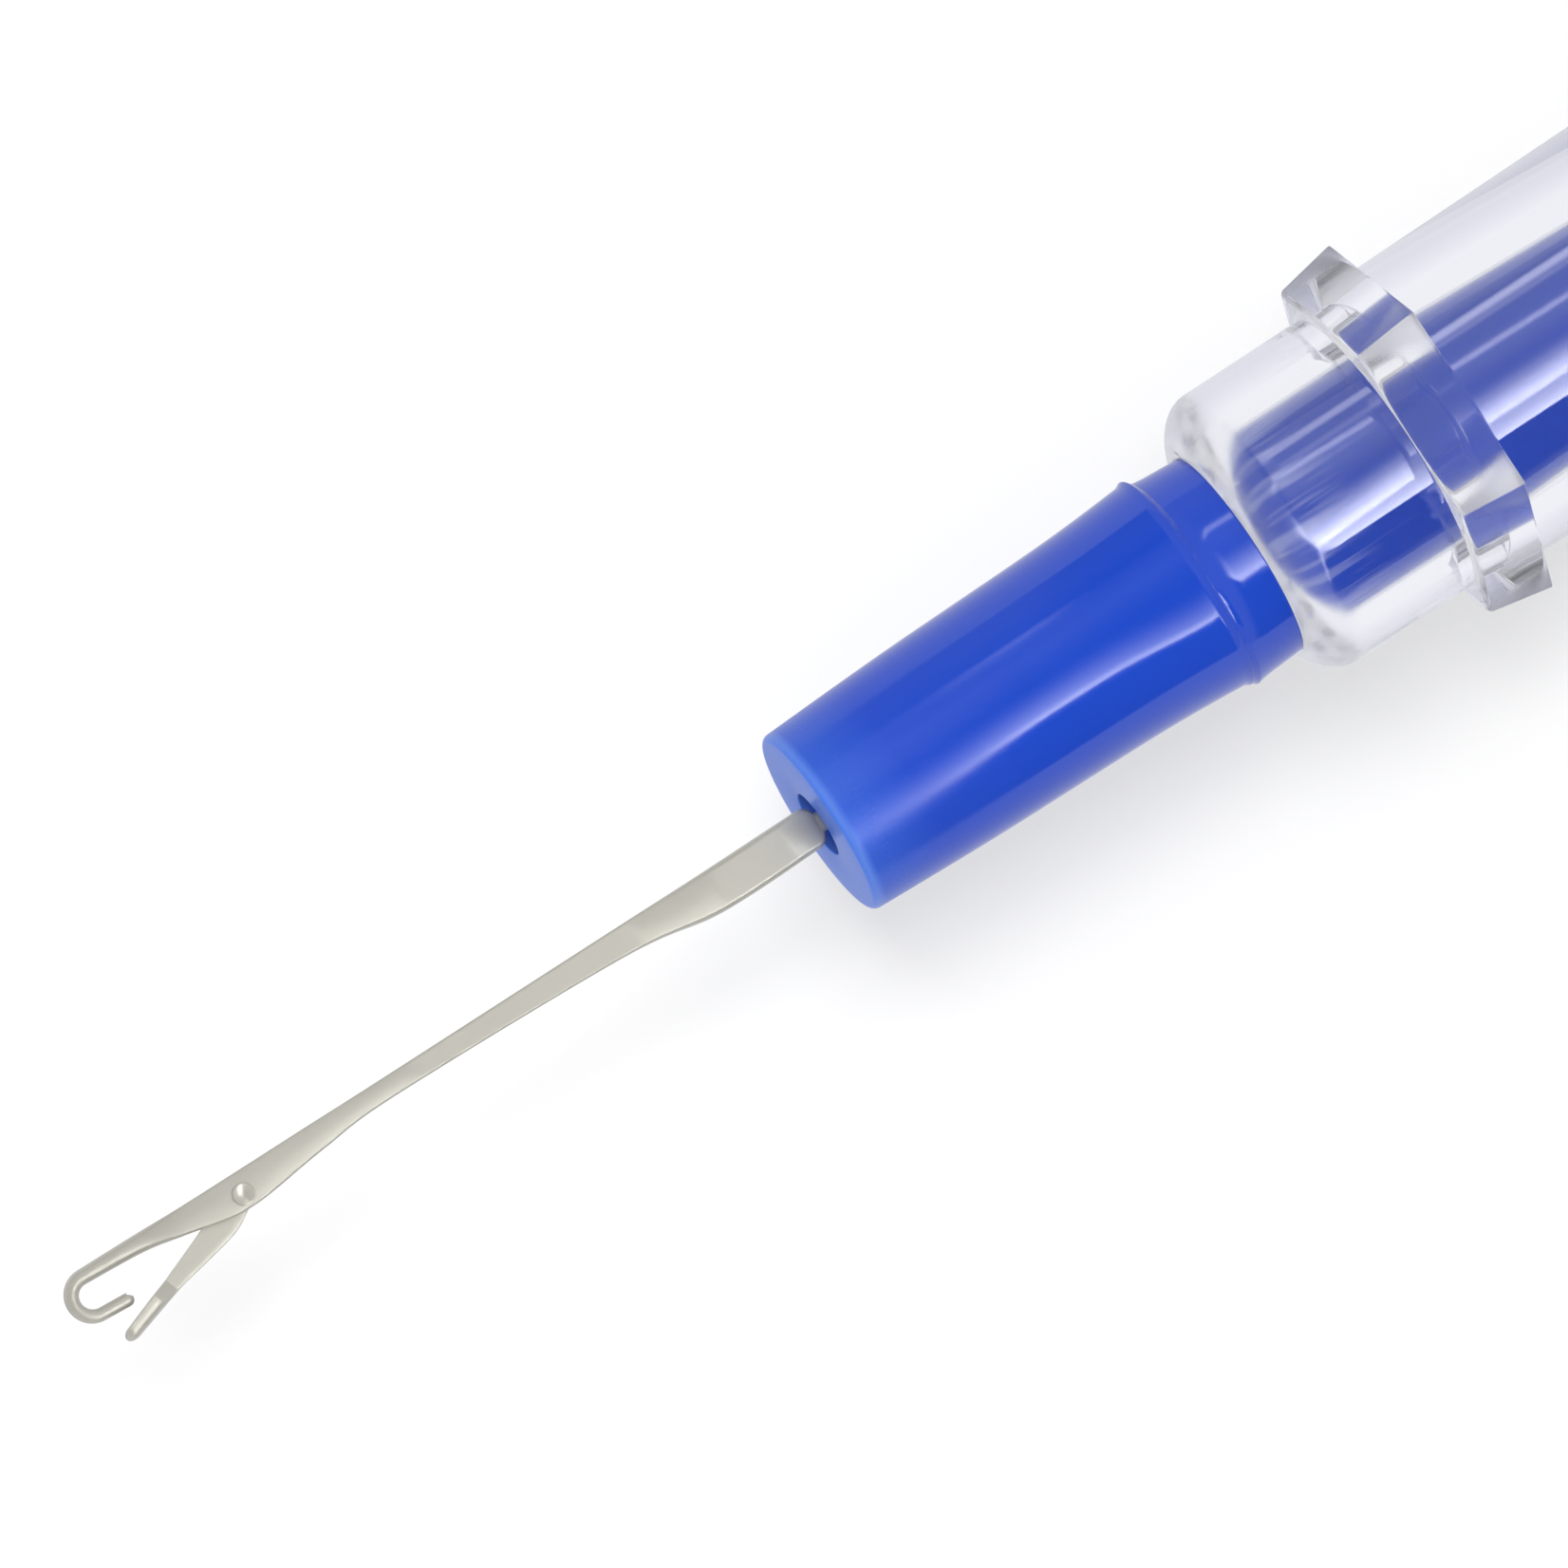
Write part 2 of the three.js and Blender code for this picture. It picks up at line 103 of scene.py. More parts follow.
class HolderSizes(bpy.types.PropertyGroup):
    """Sizes of the blue needle holder."""

    face: length("Diameter of the nose at its front face", 8.05)
    face_rounding: length("Radius of the front edge", 0.3)
    belly: length("Diameter of the nose at its belly", 8.48)
    belly_depth: length("Where the belly is", 6)
    flare: length("Diameter where the nose starts to flare", 8.76)
    flare_depth: length("Where the flare starts", 13.4)
    flare_end: length("Diameter of the nose at its rear", 9.2)
    nose_length: length("From the face to the rim", 17.2)
    rim: length("Diameter over the raised rim", 9.43)
    rim_width: length("Width of the raised rim", 0.5)
    neck_front: length("Diameter of the neck behind the rim", 9.18)
    neck_rear: length("Diameter of the neck in the handle's mouth", 8.92)
    plug_length: length("How far the full neck goes into the handle", 0.4)
    shoulder_length: length("Length of the slope down to the core", 1.3)
    neck_side: length("How far neck and core lie to the +Y side", -0.2)
    core_front: length("Diameter of the core behind the shoulder", 8.3)
    core_middle: length("Diameter of the core behind the collar", 8.45)
    core_middle_length: length("Length of the core's front stretch", 8.5)
    core_rear: length("Diameter of the core at its end", 4)
    core_rounding: length("Radius of the core's end", 1)
    recess: length("Diameter of the recess round the needle", 2.8)
    recess_depth: length("Depth of the recess round the needle", 0.9)
    hole_depth: length("Depth of the hole for the needle's tang", 10)
    hole_gap: length("Gap round the needle's tang", 0.04)
    edge: length("Radius of the small edges", 0.06)
    neck_fillet: length("Length of the fillet behind the rim", 0.8)
    neck_rise: length("Height of the fillet behind the rim", 0.05)


class HandleSizes(bpy.types.PropertyGroup):
    """Sizes of the clear handle."""

    mouth_gap: length("Gap between the handle's mouth and the neck", 0.05)
    bore_gap: length("Air gap between the core and the bore", 0.15)
    bore_end_gap: length("Gap behind the core's end", 2)
    lip_length: length("Length of the rounded lip", 1.75)
    lip_start: turn("Where on its ellipse the lip starts", 25)
    lip_edge: length("Radius of the lip's inner edge", 0.05)
    front: length("Diameter in front of the collar", 12.4)
    front_length: length("From the mouth to the collar", 7.12)
    collar_length: length("Length of the six-sided collar", 2.74)
    collar_front: length("Across the corners at the collar's front", 15.1)
    collar_rear: length("Across the corners at the collar's rear", 16)
    collar_rounding: length("Radius of the collar's front edge", 0.3)
    collar_rear_rounding: length("Radius of the collar's rear edge", 0.08)
    collar_corner: length("Radius of the edges between the collar's sides", 0.12)
    front_fillet: length("Radius of the fillet in front of the collar", 0.04)
    rear_fillet: length("Radius of the fillet behind the collar", 0.12)
    grip_front: length("Diameter of the grip behind the collar", 13.3)
    grip_rear: length("Diameter of the grip at its end", 14.8)
    end_rounding: length("Radius of the grip's closed end", 2.5)


class NeedleSizes(bpy.types.PropertyGroup):
    """Sizes of the hook needle that don't depend on its outline."""

    tang_depth: length("How far the tang goes into the holder", 9)
    hook_reach: length("From the holder's face to the hook's front", 35.26)
    hook_back: length("From the axis to the hook's back", 1.31)
    hook_wire: length("Thickness of the wire at the bend", 0.64)
    hook_bend: length("Radius of the bend, to the wire's middle", 0.82)
    tip_wire: length("Thickness of the wire at the tip", 0.55)
    tip_length: length("Length of the tip behind the bend", 1.4)
    tip_slope: turn("How much the tip leans out", 4)
    slot_width: length("Width of the slot for the latch", 0.45)
    slot_radius: length("Radius of the slot round the rivet", 0.56)
    slot_open: turn("Heading of the slot's side behind the rivet", -9)
    slot_closed: turn("Heading of the slot's side towards the hook", 192.4)
    slot_reach: length("Length of the slot's sides", 6)


class LatchSizes(bpy.types.PropertyGroup):
    """Sizes of the latch and its rivet."""

    reach: length("From the rivet to the spoon's tip", 7.24)
    heading: turn("Where the latch points at rest", 199.239)
    thickness: length("Thickness of the blade", 0.35)
    tail: length("Radius of the blade round the rivet", 0.5)
    bulge: length("Widest place of the blade, from the rivet's line", 0.69)
    bulge_length: length("Where the blade is widest", 1.25)
    waist: length("Width of the blade beyond the bulge", 0.49)
    waist_length: length("Where that width is", 3)
    rim: length("From the rivet's line to the spoon's rim", 0.36)
    spoon_length: length("Length of the spoon with its flare", 2.75)
    flare_length: length("Where the blade widens into the spoon", 0.8)
    spoon_width: length("Width of the spoon", 1.1)
    spoon_root: length("Depth of the spoon at its root", 0.64)
    spoon_end: length("Depth of the spoon at its tip", 0.5)
    tip_width: length("Width of the spoon before its tip", 0.86)
    cup_depth: length("Depth of the spoon's hollow", 0.3)
    cup_wall: length("Thickness of the spoon's rim", 0.17)
    rivet_head: length("Diameter of the rivet's heads", 0.9)
    rivet_height: length("Height of the rivet's heads", 0.09)
    rivet_edge: length("Radius of the edge of the rivet's heads", 0.05)
    rivet_dimple: length("Depth of the dimple in the rivet's heads", 0.08)
    rivet_pin: length("Diameter of the rivet", 0.5)


class Finishes(bpy.types.PropertyGroup):
    """Colours and finishes of the materials."""

    blue: colour("Colour of the needle holder", 0.014, 0.068, 0.57)
    # Painted light: the front face lighter, as light falls on it from the front
    blue_face_lit: colour("Colour of the holder's front face", 0.05, 0.21, 0.96)
    # Painted highlight: the rounded edge round the front face, lighter where it catches the light
    blue_edge_highlight: colour("Colour of the worn edge round that face", 0.16, 0.34, 0.96)
    # Painted sheen: a lighter blue on the holder's front, standing for the highlight that its duller plastic
    # spreads
    blue_front_sheen: colour("Colour of the holder where it is worn", 0.036, 0.13, 0.7)
    # Real scuff marks on the core, with the light they scatter painted in as a pale sheen
    scuffs: colour("Colour of the scuffs on the core", 0.5, 0.56, 0.9)
    # How strongly that painted sheen lightens the holder's front
    wear: share("How strongly the holder's front is worn", 0.8)
    # How strongly that painted highlight shows
    edge_highlight: share("How strongly the edge round the face is worn", 0.5)
    # How strongly those scuff marks and their painted sheen show
    scuffing: share("How strongly the front of the core is scuffed", 0.6)
    blue_roughness: share("Roughness of the blue plastic", 0.09)
    front_dullness: share("How much rougher the holder's front is", 0.2)
    core_dullness: share("How much rougher the core is", 0.14)
    blue_index: share("Index of refraction of the blue plastic", 1.5)
    clear: colour("Tint of the clear handle", 0.972, 0.976, 0.99)
    # Painted light on the collar's scuffed corners: a lighter tint that brightens their dark
    clear_scuffed_and_lit: colour("Tint of the collar's scuffed corners", 0.985, 0.985, 1)
    clear_index: share("Index of refraction of the clear plastic", 1.59)
    clear_roughness: share("Roughness of the clear plastic", 0.02)
    corner_dullness: share("How much rougher the collar's corners are", 0.5)
    lip_dullness: share("How much rougher the handle's lip is", 0.2)
    bore_dullness: share("How much rougher the handle's bore is", 0.03)
    clear_marks: share("Strength of the marks in the handle's bore", 0.05)
    steel: colour("Colour of the needle's steel", 0.6, 0.585, 0.52)
    steel_metallic: share("How much of the steel's light is mirrored", 0.65)
    steel_roughness: share("Roughness of the steel", 0.42)


class StageSizes(bpy.types.PropertyGroup):
    """The camera, the floor and the lights."""

    view_width: length("Width of what the camera sees at the tool", 61.19)
    view_distance: length("From the camera to the tool", 1500)
    view_tilt: turn("How far the camera leans towards the hook", 9.8)
    view_roll: turn("How far the tool is turned in the picture", 33.25)
    target_depth: length("Depth of the picture's middle", -0.23)
    target_side: length("From the tool's axis to the picture's middle", 2.05)
    floor_size: length("Side of the floor", 6000)
    floor_gap: length("From the floor up to the tool", 0.05)
    floor_glow: share("Light that the floor seems to give off", 0.52)
    floor_shade: share("How much light the floor sends back", 0.43)
    # Painted shadow: the floor seen straight through the handle is darkened as if the tool's shadow lay there
    floor_painted_shadow: colour("The floor seen straight through the handle", 0.52, 0.53, 0.64)
    floor_beside: colour("The floor in what handle and metal reflect", 0.9, 0.91, 0.95)
    # Painted shadow in reflections: how much of the floor's brightness shows right under the tool
    floor_near: share("How much of that shows right under the tool", 0.4)
    key_light: share("Strength of the lamp over the tool", 1.6)
    key_size: length("Side of that lamp", 300)
    key_turn: turn("How far that lamp stands to the +Y side", 17)
    floor_light: share("Strength of the lamp that lights only the floor", 1.2)
    floor_lamp_size: length("Side of that lamp", 350)
    floor_lamp_turn: turn("How far that lamp stands to the +Y side", 32)
    lamp_distance: length("From the lamps to the tool", 600)
    sky: share("Even light on matt surfaces", 0.6)
    sky_in_glass: share("How much stronger that is behind clear plastic", 2.1)
    side_fill: share("Extra even light from the hook's open side", 0.3)
    glow_light: share("Brightness of the near softbox towards its edge", 5.5)
    edge_light: share("Brightness that the near softbox adds at its edge", 5)
    box_light: share("Brightness of the far side's soft light", 0.3)
    veil_light: share("Brightness of the far side beyond the handle", 0.55)
    strip_light: share("Brightness of the far side's narrow lights", 3.5)
    dark_light: share("Brightness of the rest of the studio", 0.05)
    end_light: share("Brightness of the studio beyond the tool's ends", 0.6)
    through_light: share("Brightness of the ends as seen through the handle", 0.8)
    caught_light: share("Brightness of light that the handle caught", 0.65)
    light_slant: share("How much the lights lean towards the handle's end", 1.5)
    strip_slant: share("How much the narrow lights lean towards the hook", 1.1)


class KnitPickerSettings(bpy.types.PropertyGroup):
    """All of the sizes and colours."""

    holder: PointerProperty(type=HolderSizes)
    handle: PointerProperty(type=HandleSizes)
    needle: PointerProperty(type=NeedleSizes)
    latch: PointerProperty(type=LatchSizes)
    finishes: PointerProperty(type=Finishes)
    stage: PointerProperty(type=StageSizes)


def settings():
    """The sizes and colours that the panel shows."""
    return bpy.context.scene.knit_picker


# How finely curves are cut: degrees between points, and numbers of steps, rings and points
HOLDER_STEP = 1
HANDLE_STEP = 2
RIVET_STEP = 5
CORNER_STEPS = 8
NECK_RINGS = 60
NOSE_RINGS = 48
WIRE_POINTS = 28
STATION_STEPS = 12
BEND_STEPS = 48
SLOT_STEPS = 16
END_RINGS = 12
BLADE_RINGS = 60
FLARE_RINGS = 16
SPOON_RINGS = 40
LATCH_POINTS = 24
SMOOTH_BELOW = math.radians(24)
QUARTER = math.radians(90)

# Degrees that the rim's crest spans on each side, that the collar's flats slope, and of the tang's shoulders
RIM_CREST = 50
COLLAR_SLOPE = 10
SHOULDER_TURN = 88

# The spoon's hollow, in shares of the spoon's length and width, and how square the latch's sections are
HOLLOW_START = 0.12
HOLLOW_RISE = 1 / 6
LEAST_HOLLOW = 0.3
HOLLOW_ROUNDNESS = 0.8
BLADE_ROUNDNESS = 0.22
SPOON_ROUNDNESS = 0.72

# Where the holder's finish and its painted sheen, painted light and painted highlight change, in millimetres
# behind its face: from 0 to 1 between each two
# Where the painted sheen lightens the holder's front
FRONT_SHEEN = (3.5, 0.3)
FRONT_DULL = (9, 0.5)
# Where the painted light covers the front face
LIT_FACE = (0.16, 0.06)
# Where the painted highlight lies on the rounded edge round the face
EDGE_HIGHLIGHT_STARTS = (0.04, 0.14)
EDGE_HIGHLIGHT_ENDS = (0.5, 0.2)

# The same for other finishes, the core's painted sheen, the corners' painted light and the floor's painted
# shadow, in millimetres behind the handle's mouth or its collar, or from the tool's axis
CORE_DULL = (1, 2.5)
# Where the core's scuff marks with their painted sheen lie, behind the handle's mouth
SCUFF_SHEEN_START = (0, 0.6)
SCUFF_SHEEN_END = (4.5, 1)
LIP_DULL = (2.4, 1.4)
# Where the collar's corners are scuffed and lightened by painted light
COLLAR_SCUFFED_AND_LIT = (0.1, 0)
CORNER_SCUFFED_AND_LIT = (7.15, 7.5)
BORE = (4.7, 4.6)
# Where the painted shadow on the reflected floor fades out to the sides
FLOOR_SHADOW_FADE = (2, 12)

# How much of the noise of the core's painted sheen shows, how much lighter the blue plastic's clouds are, and
# the steel's shades
SHEEN_STREAKS = (0.47, 0.6)
CLOUDY = 1.12
STEEL_SHADES = (0.94, 1.05)

# Headings of the studio's lights in degrees from the upright, towards the hook's open side
NEAR_GLOW = (3, 39)
NEAR_EDGE = (33, 38)
NEAR_END = (40.4, 39.6)
FAR_BOX = (-50, -38, -24, -8)
FAR_BELOW = (-50, -70)
VEIL = (12, -12)
WIDE_STRIP = (-51, -48.5, -45.5, -43)
THIN_STRIP = (-37, -34.5, -32.5, -30)
FILL = (0, 60)

# How far a direction points to the handle's end where the studio changes: from 0 to 1 between each two
OVER_HANDLE = (0.15, 0.165)
BEHIND_COLLAR = (0.182, 0.176)
OVER_NECK = (0.23, 0.28)
HANDLE_TURN = (0, 0.2)
HOOK_END = (-0.14, -0.06)
HANDLE_END = (0.4, 0.34)
SEEN_THROUGH = (0.12, 0.08)

# How far the lights step aside there, in radians, and how their strength changes
HANDLE_STEP_ASIDE = 0.14
COLLAR_STEP_ASIDE = 0.08
THIN_STEP = 0.14
EDGE_LOSS = 0.6
VEIL_LOSS = 0.4
BELOW_SHARE = 0.5
THIN_SHARE = 0.3
COLLAR_GAIN = 0.5

# How far the camera sees, in metres, and how often light may bounce inside the clear handle
CLIP_END = 100
BOUNCES = 96

Place = namedtuple("Place", "reach back front thickness corner")
Station = namedtuple("Station", "centre heading half_height half_thickness corner")

# The needle's outline in millimetres: reach, back edge, front edge, thickness and rounding of the corners
NEEDLE_PLACES = (
    Place(0.45, 0.92, -0.83, 1.1, 0.25),
    Place(5, 0.92, -0.83, 1.1, 0.25),
    Place(9.2, 0.96, -0.19, 1.1, 0.12),
    Place(19.8, 1.05, 0.19, 1.1, 0.12),
    Place(23.44, 1.1, -0.02, 1.1, 0.12),
    Place(27.04, 1.14, -0.37, 1.1, 0.12),
    Place(29.59, 1.18, 0.11, 1, 0.12),
    Place(31.44, 1.25, 0.47, 0.78, 0.32),
)


def spread(start, end, count):
    """Numbers from a start to an end, in even steps."""
    return [start + (end - start) * step / count for step in range(count + 1)]


def between(start, end, part):
    """The number at some part of the way from a start to an end."""
    return start + (end - start) * part


def arc(centre, radius, start, end, steps=CORNER_STEPS):
    """Points (depth, radius) of an arc between two angles in degrees."""
    angles = [math.radians(angle) for angle in spread(start, end, steps)]
    return [(centre[0] + radius * math.cos(a), centre[1] + radius * math.sin(a)) for a in angles]


def catmull_rom(values, position):
    """A smooth curve through evenly spaced values, at a position counted in values."""
    index = min(int(position), len(values) - 2)
    places = [min(max(index + step, 0), len(values) - 1) for step in (-1, 0, 1, 2)]
    before, start, end, after = [values[place] for place in places]
    t = position - index
    leave = (end - before) / 2
    arrive = (after - start) / 2
    bend = 2 * start - 2 * end + leave + arrive
    ease = 3 * end - 3 * start - 2 * leave - arrive
    return ((bend * t + ease) * t + leave) * t + start


def smooth_min(a, b, softness):
    """The smaller of two lengths, with a soft change between them."""
    overlap = max(softness - abs(a - b), 0) / softness
    return min(a, b) - overlap * overlap * softness / 4


def step_to(heading):
    """A step of length 1 in a direction, given in radians."""
    return Vector((math.cos(heading), math.sin(heading)))


def risen(value, start, span):
    """How far a value has gone from a start over a span, from 0 to 1."""
    return max(0, min(1, (value - start) / span))


def linked(name, data):
    """A new object in the scene."""
    made = bpy.data.objects.new(name, data)
    bpy.context.scene.collection.objects.link(made)
    return made


def skinned(name, rings):
    """A closed mesh object over a run of rings that all have as many points."""
    count = len(rings[0])
    points = [point for ring in rings for point in ring]
    faces = [tuple(range(count)), tuple(range((len(rings) - 1) * count, len(rings) * count))]
    for start in range(0, (len(rings) - 1) * count, count):
        for i in range(count):
            after = (i + 1) % count
            faces.append((start + i, start + after, start + count + after, start + count + i))
    mesh = bpy.data.meshes.new(name)
    mesh.from_pydata(points, [], faces)
    shape = bmesh.new()
    shape.from_mesh(mesh)
    bmesh.ops.recalc_face_normals(shape, faces=shape.faces)
    shape.to_mesh(mesh)
    shape.free()
    return linked(name, mesh)


def turned(name, profile, angles):
    """A mesh turned about the tool's axis. The profile has depths, radii or functions of the angle, and
    sometimes how far the ring lies to the side."""
    rings = []
    for depth, radius, *side in profile:
        radii = [radius(a) if callable(radius) else radius for a in angles]
        spots = [(r * math.cos(a) + sum(side), AXIS_Z + r * math.sin(a)) for r, a in zip(radii, angles)]
        rings.append([Vector((FACE_X + depth, *spot)) for spot in spots])
    return skinned(name, rings)


def aside(sizes, points):
    """A profile's points with their rings to the side of the tool's axis, as the neck and core lie."""
    return [(*point, sizes.neck_side) for point in points]


def apply_modifiers(piece):
    """Puts what a piece's modifiers make into its mesh."""
    depsgraph = bpy.context.evaluated_depsgraph_get()
    mesh = bpy.data.meshes.new_from_object(piece.evaluated_get(depsgraph))
    piece.modifiers.clear()
    piece.data = mesh


def cut(piece, cutter):
    """Takes the cutter's shape out of a piece, and deletes the cutter."""
    change = piece.modifiers.new("cut", "BOOLEAN")
    change.operation = "DIFFERENCE"
    change.solver = "EXACT"
    change.object = cutter
    apply_modifiers(piece)
    bpy.data.objects.remove(cutter)


def dress(piece, material, slot, body, *nodes):
    """Gives a piece its shading, material and body, and hides the CAD nodes that it stands for."""
    piece.data.shade_smooth()
    piece.data.set_sharp_from_angle(angle=SMOOTH_BELOW)
    weigh = piece.modifiers.new("weigh", "WEIGHTED_NORMAL")
    weigh.keep_sharp = True
    apply_modifiers(piece)
    piece.data.materials.clear()
    piece.data.materials.append(material)
    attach(piece, body)
    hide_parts(*nodes)


class Shade:
    """A socket in a material's node tree, which can be used in sums as a number can."""

    def __init__(self, tree, socket=None):
        self.tree = tree
        self.socket = socket

    def node(self, kind, options=None, inputs=None, output=0):
        """Adds a node with its options and its inputs' values or links, and gives one output."""
        added = self.tree.nodes.new("ShaderNode" + kind)
        for name, value in (options or {}).items():
            setattr(added, name, value)
        for key, value in (inputs or {}).items():
            if isinstance(value, Shade):
                self.tree.links.new(value.socket, added.inputs[key])
            else:
                added.inputs[key].default_value = value
        return Shade(self.tree, added.outputs[output] if added.outputs else None)

    def math(self, operation, left, right):
        return self.node("Math", {"operation": operation}, {0: left, 1: right})

    def __add__(self, other):
        return self.math("ADD", self, other)

    __radd__ = __add__

    def __sub__(self, other):
        return self.math("SUBTRACT", self, other)

    def __rsub__(self, other):
        return self.math("SUBTRACT", other, self)

    def __mul__(self, other):
        return self.math("MULTIPLY", self, other)

    __rmul__ = __mul__

    def mix(self, factor, left, right):
        """A colour between two others."""
        colours = [c if isinstance(c, Shade) else (*c, 1) for c in (left, right)]
        return self.node("Mix", {"data_type": "RGBA"}, {0: factor, 6: colours[0], 7: colours[1]}, 2)

    def ramp(self, value, start, end):
        """From 0 to 1 as a value goes from start to end."""
        return self.node("MapRange", inputs={"Value": value, "From Min": start, "From Max": end})

    def fade(self, value, origin, ends):
        """From 0 to 1 between two places, in millimetres from an origin."""
        return self.ramp(value, origin + ends[0] * MM, origin + ends[1] * MM)

    def band(self, value, *degrees):
        """From 0 to 1 between two angles, and back to 0 between two more if they are given."""
        angles = [math.radians(angle) for angle in degrees]
        up = self.ramp(value, angles[0], angles[1])
        return up * self.ramp(value, angles[3], angles[2]) if len(angles) > 2 else up

    def place(self, axis):
        """One of the piece's own coordinates."""
        whole = self.node("TexCoord", output="Object")
        return self.node("SeparateXYZ", inputs={"Vector": whole}, output=axis)

    def ray(self, name):
        """One of the Light Path node's outputs."""
        return self.node("LightPath", output=name)

    def deeper(self, name, count):
        """1 where one of the Light Path node's depths is above a whole number."""
        return self.math("GREATER_THAN", self.ray(name), count + 0.5)

    def shiny_ray(self):
        """1 for what the camera sees in metal, gloss and glass, and not by way of a matt surface."""
        shiny = self.math("MAXIMUM", self.ray("Is Glossy Ray"), self.ray("Is Transmission Ray"))
        return shiny * self.math("LESS_THAN", self.ray("Diffuse Depth"), 0.5)

    def stretched(self, x, y, z):
        """The piece's own coordinates, scaled along each axis."""
        place = self.node("TexCoord", output="Object")
        return self.node("Mapping", inputs={"Vector": place, "Scale": (x, y, z)})

    def noise(self, along, across, scale, detail=2):
        """Noise from 0 to 1 with a middle of one half, scaled along the tool and across it."""
        place = self.stretched(along, across, across)
        return self.node("TexNoise", inputs={"Vector": place, "Scale": scale, "Detail": detail})

    def about(self, value, noise, amount):
        """A number with noise about it."""
        return noise * amount + (value - amount / 2)

    def bump(self, height, strength, distance):
        """The direction that an uneven surface faces."""
        return self.node("Bump", inputs={"Strength": strength, "Distance": distance, "Height": height})


def new_material(name):
    """An empty material, and its node tree to build in."""
    material = bpy.data.materials.new(name)
    material.use_nodes = True
    material.node_tree.nodes.clear()
    return material, Shade(material.node_tree)


def finished(material, build, inputs):
    """A material once its surface has its values and links."""
    surface = build.node("BsdfPrincipled", inputs=inputs)
    build.node("OutputMaterial", inputs={"Surface": surface})
    return material


def blue_plastic():
    """Glossy moulded plastic with faint flow marks. Its front is duller from use, and lighter from a painted
    sheen.
    Its front face is lighter from painted light and the edge round it has a painted highlight, and the core is
    scuffed along the tool where it was pressed into the handle, with painted sheen on those marks."""
    finishes = settings().finishes
    material, build = new_material("blue_plastic")
    place = build.place("X")
    cloud = build.noise(1, 1, scale=160)
    grain = build.noise(1, 2, scale=2600, detail=4)
    tint = build.mix(cloud, finishes.blue, [c * CLOUDY for c in finishes.blue])
    # Painted sheen: the holder's front gets lighter towards its face
    tint = build.mix(build.fade(place, FACE_X, FRONT_SHEEN) * finishes.wear, tint, finishes.blue_front_sheen)
    # Painted light on the front face
    tint = build.mix(build.fade(place, FACE_X, LIT_FACE), tint, finishes.blue_face_lit)
    # Painted highlight on the rounded edge round the face
    edge = build.fade(place, FACE_X, EDGE_HIGHLIGHT_STARTS) * build.fade(place, FACE_X, EDGE_HIGHLIGHT_ENDS)
    tint = build.mix(edge * finishes.edge_highlight, tint, finishes.blue_edge_highlight)
    fine = build.noise(0.05, 1, scale=5200, detail=1)
    wide = build.noise(0.08, 1, scale=1500, detail=1)
    # Scuff marks on the core, lightened by painted sheen in lines along the tool
    sheen_streaks = build.ramp(fine * 0.5 + wide * 0.5, *SHEEN_STREAKS)
    pressed = build.fade(place, HANDLE_LOW.x, SCUFF_SHEEN_START) * build.fade(place, HANDLE_LOW.x, SCUFF_SHEEN_END)
    tint = build.mix(sheen_streaks * pressed * finishes.scuffing, tint, finishes.scuffs)
    dull = build.fade(place, FACE_X, FRONT_DULL) * finishes.front_dullness
    dull = dull + build.fade(place, HANDLE_LOW.x, CORE_DULL) * finishes.core_dullness
    inputs = {
        "Base Color": tint,
        "Roughness": build.about(finishes.blue_roughness, grain, amount=0.06) + dull,
        "IOR": finishes.blue_index,
        "Normal": build.bump(cloud * 0.7 + grain * 0.3, strength=0.05, distance=0.02 * MM),
    }
    return finished(material, build, inputs)


def clear_plastic():
    """Clear moulded plastic, polished outside. The bore has faint marks along the tool, and the collar's
    corners and the lip are scuffed. The corners' lighter tint is painted light that brightens their dark."""
    finishes = settings().finishes
    material, build = new_material("clear_plastic")
    place = build.place("X")
    ends = {0: build.stretched(0, 1, 1), 1: (0, 0, AXIS_Z)}
    spread = build.node("VectorMath", {"operation": "SUBTRACT"}, ends)
    radius = build.node("VectorMath", {"operation": "LENGTH"}, {0: spread}, "Value")
    bore = build.fade(radius, 0, BORE)
    cloud = build.noise(1, 1, scale=300)
    sizes = settings().handle
    collar_end = HANDLE_LOW.x + sizes.front_length + sizes.collar_length
    # The collar's corners: rougher where scuffed, and their lighter tint is painted light
    worn = build.fade(radius, 0, CORNER_SCUFFED_AND_LIT) * build.fade(place, collar_end, COLLAR_SCUFFED_AND_LIT)
    lip = build.fade(place, HANDLE_LOW.x, LIP_DULL) * (1 - bore)
    marks = build.noise(0.05, 1, scale=1300, detail=1) * bore
    dull = worn * finishes.corner_dullness + lip * finishes.lip_dullness + bore * finishes.bore_dullness
    inputs = {
        "Base Color": build.mix(worn, finishes.clear, finishes.clear_scuffed_and_lit),
        "Roughness": build.about(finishes.clear_roughness, cloud, amount=0.01) + dull,
        "IOR": finishes.clear_index,
        "Transmission Weight": 1.0,
        "Normal": build.bump(marks, strength=finishes.clear_marks, distance=0.02 * MM),
    }
    return finished(material, build, inputs)


def steel(name, brightness=1, roughness=1):
    """Nickel-plated steel with a fine satin grain along the tool. Its brightness and roughness are shares of
    the needle's."""
    finishes = settings().finishes
    material, build = new_material(name)
    cloud = build.noise(0.3, 1, scale=900)
    grain = build.noise(0.08, 1, scale=14000, detail=3)
    tints = [[c * brightness * shade for c in finishes.steel] for shade in STEEL_SHADES]
    inputs = {
        "Base Color": build.mix(cloud, *tints),
        "Metallic": finishes.steel_metallic,
        "Roughness": build.about(finishes.steel_roughness * roughness, grain, amount=0.08),
        "Normal": build.bump(grain, strength=0.06, distance=0.01 * MM),
    }
    return finished(material, build, inputs)


def even_angles(step):
    """Angles all the way round, from +Y."""
    return [math.radians(step * i) for i in range(int(360 / step))]


